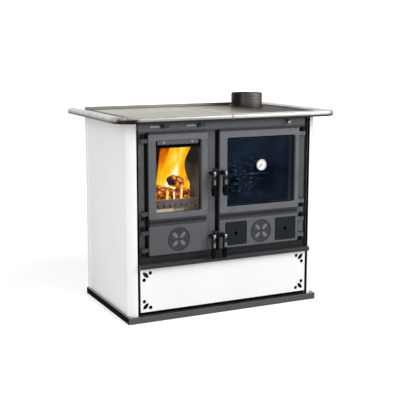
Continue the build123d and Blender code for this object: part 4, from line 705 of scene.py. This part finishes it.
# The doors' left edges are painted dark: painted shade.
shaded_left_edges = either(tree, step_mask(tree, x, -0.3570, -0.3600),
                    front_mask(tree, place, (-0.0400, -0.0350), (0.2, 0.8), 0.0015))
window_shade = either(tree, front_mask(tree, place, (-0.1275, -0.1205), (0.459, 0.754), 0.0012),
                      front_mask(tree, place, (0.3255, 0.3345), (0.462, 0.752), 0.0012))
for shade, mask, share in (
        (lower_tone, step_mask(tree, z, 0.440, 0.410), 0.9),
        (dark_stile, step_mask(tree, x, -0.300, -0.340), 0.35), (dark_stile, fire_rail, 0.25),
        ("#707277", step_mask(tree, z, 0.750, 0.760), 0.5), ("#1E2022", shaded_left_edges, 0.7),
        ("#17181A", window_shade, 1.0)):
    tone = painted(tree, tone, shade, mask, share)
proud = step_mask(tree, y, -0.2590, -0.2600)
# The rosettes: painted shade in their bands, dots and sunk grounds, and a painted highlight on their proud
# parts.
for rosette_x in rosette_xs:
    away = from_axis(tree, place, rosette_x, rosette_z)
    studs = [step_mask(tree, from_axis(tree, place, rosette_x + right, rosette_z + up), 0.0068, 0.0058)
             for right, up in ((0, 0), (stud_reach, 0), (-stud_reach, 0), (0, stud_reach), (0, -stud_reach))]
    band = both(tree, step_mask(tree, away, 0.0512, 0.0500), step_mask(tree, away, 0.0425, 0.0437))
    disc = step_mask(tree, away, 0.0445, 0.0437)
    tone = painted(tree, tone, "#2C2E31", both(tree, disc, step_mask(tree, proud, 0.6, 0.4)))
    tone = painted(tree, tone, "#696B6F", both(tree, disc, step_mask(tree, proud, 0.4, 0.6)))
    tone = painted(tree, tone, "#202225", either(tree, band, *studs))
# The doors' left side faces are painted near black: painted shade.
shaded_left_sides = either(tree, box_mask(tree, place, (-0.3640, -0.2580, 0.2), (-0.3600, -0.20, 0.8), 0.0002),
                    box_mask(tree, place, (-0.0420, -0.2580, 0.2), (-0.0380, -0.20, 0.8), 0.0002))
back = step_mask(tree, y, -0.2480, -0.2465)
wire(tree, shader, {"Base Color": painted(tree, tone, "#141517", either(tree, back, shaded_left_sides))})
dress(door_iron, "firebox_door", "oven_door", "ash_door", "soot_door")

# The insets have a dark green-grey satin paint that hardly shines.
insert_paint, tree, shader, place, tone = smooth(
    "dark_green_grey_satin_paint", 0.04, "#171D20", "#12181B", 0.0012, "#2E3538")
# Each screw and a ring round it are painted near black: painted shade in its recess.
screws_in_painted_shade = either(tree, *[step_mask(tree, from_axis(tree, place, screw_x, rosette_z), 0.0095, 0.0070)
                             for screw_x in (0.0425, 0.2875)])
gloss = add(tree, "MapRange", {"Value": screws_in_painted_shade, "To Min": 0.15, "To Max": 0.0}).outputs["Result"]
wire(tree, shader, {
    "Base Color": painted(tree, tone, "#07080A", screws_in_painted_shade), "Roughness": 0.5, "Specular IOR Level": gloss,
})
dress(insert_paint, "soot_door_inserts")

# A strip across the top of the fire door's window has the doors' paint and two bright screws.
strip_paint, tree, shader, place, tone = cast_iron(
    "painted_glass_strip_with_bright_screws", "#525458", "#484A4E", "#7A7C80", 0.45)
bright_screws = either(tree, *[step_mask(tree, from_axis(tree, place, screw_x, 0.7475), 0.0052, 0.0046)
                               for screw_x in (-0.290, -0.162)])
wire(tree, shader, {"Base Color": painted(tree, tone, "#9A9CA0", bright_screws), "Metallic": bright_screws})
dress(strip_paint, "firebox_glass_strip")

# ---------------------------------------------------------------- door glasses and their seals
# Both upper doors are glazed with 4 mm glass ceramic in a rebate: the fire's is clear and darker
# along its top; the oven's is tinted and has a black fired border, with pale streaks at its left and a
# haze over its upper part painted on as painted reflections. A steel ring holds each, and a rope of
# glass fibre seals the door.


def glass(name, tint, reflection, film_tint):
    """Glass ceramic: clear or body-tinted, with an uneven film of smoke that dulls it a little."""
    material, tree, shader, place = begin(name)
    film = cloud(tree, place, 0.07)
    tone = painted(tree, tint, film_tint, film)
    dullness = add(tree, "MapRange", {"Value": film, "To Min": 0.0, "To Max": 0.05}).outputs["Result"]
    wire(tree, shader, {
        "Base Color": tone, "Transmission Weight": 1.0, "IOR": 1.45, "Specular Tint": reflection,
        "Roughness": dullness,
    })
    return material, tree, shader, place, tone


clear, tree, shader, place, tone = glass("clear_glass_ceramic", "#FBFBF9", "#5A5E64", "#F4F3EF")
z = add(tree, "SeparateXYZ", {"Vector": place}).outputs["Z"]
darker_along_top = step_mask(tree, z, 0.722, 0.734)
wire(tree, shader, {"Base Color": painted(tree, tone, "#4A3A30", darker_along_top)})
dress(clear, "firebox_glass")

tinted, tree, shader, place, tone = glass("dark_tinted_glass_ceramic", "#627C9C", "#5C80AC", "#566E8E")
inside_border = front_mask(tree, place, (0.004, 0.308), (0.466, 0.746), 0.0010)
x = add(tree, "SeparateXYZ", {"Vector": place}).outputs["X"]
border = painted(tree, "#060608", "#1C1F26", step_mask(tree, x, 0.302, 0.304))
sheen = cloud(tree, place, 0.06, detail=2.0, low=0.40, high=0.66)
# Pale streaks and a haze over the upper part are painted reflections: they whiten the glass and let less
# through.
drawn = add(tree, "Mapping", {"Vector": place, "Scale": (0.55, 1.0, 1.0)}).outputs["Vector"]
painted_reflection_streaks = both(tree, cloud(tree, drawn, 0.010, detail=3.0, low=0.55, high=0.72),
             front_mask(tree, place, (0.035, 0.130), (0.530, 0.655), 0.045))
painted_reflection_streaks = add(tree, "Math", {0: painted_reflection_streaks, 1: 0.6}, operation="MULTIPLY").outputs["Value"]
painted_reflection_haze = front_mask(tree, place, (-0.030, 0.310), (0.630, 0.790), 0.045)
seen_through = both(tree, inside_border, step_mask(tree, painted_reflection_streaks, 2.4, 0.0), step_mask(tree, painted_reflection_haze, 18.0, 0.0))
wire(tree, shader, {
    "Base Color": painted(tree, border, painted(tree, tone, "#C8CCD8", painted_reflection_streaks), inside_border),
    "Transmission Weight": seen_through, "Specular Tint": painted(tree, "#406088", "#7896B8", sheen),
})
dress(tinted, "oven_glass")

sooty_steel, tree, shader, *_ = smooth("sooty_black_steel_strip", 0.02, "#1C1D1F", "#141517", 0.0008)
wire(tree, shader, {"Roughness": 0.70, "Specular IOR Level": 0.1})
dress(sooty_steel, "firebox_glass_retainer", "oven_glass_retainer")

# Knitted glass fibre is off-white and quite matt. Its plaits slant, about 5 mm apart; the wave
# texture repeats ten times in tau units.
plait = 0.005236
rope, tree, shader, place = begin("knitted_glass_fibre_rope")
plaits = add(tree, "TexWave", {"Vector": place, "Scale": tau / 10 / plait, "Distortion": 1.2},
             bands_direction="DIAGONAL").outputs["Fac"]
knots = add(tree, "Bump", {"Height": plaits, "Strength": 0.6, "Distance": 0.001}).outputs["Normal"]
wire(tree, shader, {
    "Base Color": painted(tree, "#8A877E", "#B8B4A8", plaits), "Roughness": 0.95, "Sheen Weight": 0.3,
    "Normal": knots,
})
dress(rope, "firebox_door_rope", "oven_door_rope")

# ---------------------------------------------------------------- door handles
# Each latch is turned in one piece: a black hub and nose, a nickel cap and neck, and a
# grip of glossy black heat-proof resin that hangs straight down when the door is shut. The nickel is
# painted bright on its right side as painted highlight and near black on its left as painted shade.
resin, tree, shader, place = begin("glossy_black_phenolic_resin")
patches = cloud(tree, place, 0.01)
dullness = add(tree, "MapRange", {"Value": patches, "To Min": 0.14, "To Max": 0.24}).outputs["Result"]
wire(tree, shader, {
    "Base Color": painted(tree, "#040506", "#08090A", patches), "Roughness": dullness, "IOR": 1.5,
    "Specular IOR Level": 0.06,
})
dress(resin, "firebox_handle_grip", "ash_handle_grip", "oven_handle_grip", "soot_handle_grip")

cap_face = -0.2856
left_pivot, right_pivot = -0.078, -0.025
upper_pivot, lower_pivot = 0.610, 0.342
for door, pivot_x, pivot_z in (("firebox", left_pivot, upper_pivot), ("oven", right_pivot, upper_pivot),
                               ("ash", left_pivot, lower_pivot), ("soot", right_pivot, lower_pivot)):
    latch, tree, shader, place = begin("black_and_nickel_latch_" + door)
    x, y, z = add(tree, "SeparateXYZ", {"Vector": place}).outputs
    cap = both(tree, step_mask(tree, y, cap_face, cap_face - 0.0006),
               step_mask(tree, z, pivot_z - 0.0120, pivot_z - 0.0110))
    neck = step_mask(tree, z, pivot_z - 0.0220, pivot_z - 0.0340)
    bright = either(tree, cap, neck)
    # The nickel is painted bright only on its right side: painted highlight, with painted shade on the left.
    painted_highlight_side = either(tree, step_mask(tree, x, pivot_x - 0.0060, pivot_x + 0.0040),
                        both(tree, neck, step_mask(tree, x, pivot_x - 0.0090, pivot_x + 0.0010)))
    edges, rounded = edge_mask(tree, 0.0010)
    black = painted(tree, "#0B0B0D", "#2E2F32", edges)
    nickel = painted(tree, "#101012", painted(tree, "#B8B8BB", "#8E9094", neck), painted_highlight_side)
    wire(tree, shader, {
        "Base Color": painted(tree, black, nickel, bright), "Metallic": bright, "Roughness": 0.22,
        "Normal": rounded, "Specular IOR Level": 0.3,
    })
    dress(latch, door + "_handle_lever")

# ---------------------------------------------------------------- air slides and damper knob
# Two small plates, plated with satin nickel, slide behind slots in the frieze to let air to the
# fire, each with a turned black knob. A longer knob at the right, bright-plated, draws the damper.
slide_finish, tree, shader, place, tone = smooth(
    "satin_nickel_plate_and_black_knob", 0.01, "#A2A4A7", "#8E9093", 0.0010)
y = add(tree, "SeparateXYZ", {"Vector": place}).outputs["Y"]
knob = step_mask(tree, y, -0.2425, -0.2430)
wire(tree, shader, {
    "Base Color": painted(tree, tone, "#1E1F21", knob), "Metallic": opposite(tree, knob), "Roughness": 0.30,
})
dress(slide_finish, "air_slide_left", "air_slide_right")

nickel, tree, shader, *_ = smooth("bright_nickel_plated_knob", 0.008, "#C4C2BE", "#A9A6A1", 0.0010)
wire(tree, shader, {"Metallic": 1.0, "Roughness": 0.16})
dress(nickel, "damper_knob")

# ---------------------------------------------------------------- oven thermometer
# A bimetal thermometer is let into the oven glass: a bright pressed bezel round a white enamel
# dial, printed with a ring of tick marks over three quarters of a turn, and a black needle.
dial_x, dial_z, dial_radius = 0.1625, 0.631, 0.0220
tick_inside, tick_outside, half_tick = 0.0160, 0.0195, 0.016
half_tick_step, half_sweep = tau / 72, radians(137)
dial, tree, shader, place = begin("nickel_bezel_and_printed_dial")
offset = add(tree, "VectorMath", {0: place, 1: (dial_x, 0.0, dial_z)}, operation="SUBTRACT").outputs["Vector"]
away = from_axis(tree, offset, 0.0, 0.0)
right, deep, up = add(tree, "SeparateXYZ", {"Vector": offset}).outputs
turn = add(tree, "Math", {0: right, 1: up}, operation="ARCTAN2").outputs["Value"]
from_tick = add(tree, "Math", {0: turn, 1: half_tick_step}, operation="PINGPONG").outputs["Value"]
from_top = add(tree, "Math", {0: turn}, operation="ABSOLUTE").outputs["Value"]
limits = ((from_tick, half_tick, "LESS_THAN"), (from_top, half_sweep, "LESS_THAN"),
          (away, tick_outside, "LESS_THAN"), (away, tick_inside, "GREATER_THAN"))
ticks = both(tree, *[add(tree, "Math", {0: value, 1: limit}, operation=test).outputs["Value"]
                     for value, limit, test in limits])
printed = both(tree, step_mask(tree, away, dial_radius + 0.0001, dial_radius - 0.0001),
               step_mask(tree, deep, -0.2590, -0.2594))
wire(tree, shader, {
    "Base Color": painted(tree, "#A4A5A7", painted(tree, "#F4F4F2", "#2A2A2C", ticks), printed),
    "Metallic": opposite(tree, printed), "Roughness": 0.22,
})
dress(dial, "thermometer_case")
dress(black_iron, "thermometer_needle")

# ---------------------------------------------------------------- wood drawer
# The drawer front is pressed from sheet and enamelled white, with leaves and dots pierced in its
# corners; its edges and back are painted black as painted shade. The box behind is painted black
# where it shows, as painted shade.
front_enamel, tree, shader, place, tone = enamelled(
    "white_vitreous_enamel_with_bare_ground_coat", "#FAFAFA", "#F6F6F7", 0.20, 0.0035)
_, y, z = add(tree, "SeparateXYZ", {"Vector": place}).outputs
# The front's edges and back are painted black: painted shade.
shaded_ends = step_mask(tree, aside(tree, place), 0.3974, 0.3982)
foot, head = step_mask(tree, z, 0.0440, 0.0434), step_mask(tree, z, 0.2262, 0.2268)
back = step_mask(tree, y, -0.2480, -0.2470)
wire(tree, shader, {"Base Color": painted(tree, tone, painted_shade_black, either(tree, shaded_ends, foot, head, back))})
dress(front_enamel, "drawer_front")
# The box's front is painted black where it shows: painted shade.
box_zinc = zinc_shaded_black_in_front("galvanised_box_shaded_black_in_front", "#A9ADAF", "#909497", "#0C0C0D", -0.2312, -0.2318)
dress(box_zinc, "drawer_box")

# ---------------------------------------------------------------- floor, light and camera
# The stove stands on a plain pale floor in soft studio light, seen from the front left and a
# little above, as in the photograph. The camera and what it sees in glass and metal get a white
# background; the light that falls on the stove is a little weaker.
fresh_start()
bpy.ops.mesh.primitive_plane_add(size=60.0, location=(0, 0, 0))
floor = bpy.context.object
floor.name = "floor"
pale = bpy.data.materials.new("pale_studio_floor")
pale.use_nodes = True
tree = pale.node_tree
tree.nodes.clear()
place = add(tree, "TexCoord", {}).outputs["Object"]
far = add(tree, "VectorMath", {0: place}, operation="LENGTH").outputs["Value"]
fade = add(tree, "MapRange", {"Value": far, "From Min": 1.0, "From Max": 3.0, "To Min": 0.42})
seen = add(tree, "LightPath", {}).outputs["Is Camera Ray"]
matt = add(tree, "BsdfDiffuse", {"Color": "#EAEAEA"}).outputs["BSDF"]
lift = add(tree, "Math", {0: seen, 1: fade.outputs["Result"]}, operation="MULTIPLY").outputs["Value"]
lit = add(tree, "Emission", {"Color": "#FFFFFF", "Strength": lift}).outputs["Emission"]
surface = add(tree, "AddShader", {0: matt, 1: lit}).outputs["Shader"]
add(tree, "OutputMaterial", {"Surface": surface})
floor.data.materials.append(pale)

world = bpy.data.worlds.new("studio")
bpy.context.scene.world = world
world.use_nodes = True
tree = world.node_tree
tree.nodes.clear()
rays = add(tree, "LightPath", {}).outputs
seen = either(tree, *[rays[kind] for kind in ("Is Camera Ray", "Is Glossy Ray", "Is Transmission Ray")])
strength = add(tree, "MapRange", {"Value": seen, "To Min": 0.575, "To Max": 1.0}).outputs["Result"]
sky = add(tree, "Background", {"Color": "#FFFFFF", "Strength": strength}).outputs["Background"]
add(tree, "OutputWorld", {"Surface": sky})


def lamp(name, place, aim, size, power, colour="#FFFFFF"):
    """A square soft lamp at a place, pointed at another."""
    fresh_start()
    bpy.ops.object.light_add(type="AREA", location=place)
    light = bpy.context.object
    light.name = name
    light.data.size = size
    light.data.energy = power
    light.data.color = srgb(colour)[:3]
    gap = [b - a for a, b in zip(place, aim)]
    flat = (gap[0] ** 2 + gap[1] ** 2) ** 0.5
    light.rotation_euler = (atan2(flat, -gap[2]), 0, atan2(-gap[0], gap[1]))


lamp("key", (2.4, -2.6, 2.4), (0, 0, 0.45), 2.0, 80.0)
lamp("fill", (-2.9, -1.6, 1.9), (-0.3, 0, 0.45), 2.0, 38.0)
lamp("fire_glow", (-0.20, -0.10, 0.80), (-0.18, -0.15, 0.45), 0.08, 1.3, "#E8EEFF")

looking_down, turned_right = 10.052, 25.797
camera_data = bpy.data.cameras.new("photographer")
camera_data.sensor_width = 36.0
camera_data.lens = 80.05
camera_data.clip_end = 100.0
camera = bpy.data.objects.new("photographer", camera_data)
camera.location = (-1.7213, -3.5521, 1.1480)
camera.rotation_euler = (radians(90 - looking_down), 0, -radians(turned_right))
bpy.context.scene.collection.objects.link(camera)
bpy.context.scene.camera = camera
bpy.context.scene.view_settings.view_transform = "Standard"
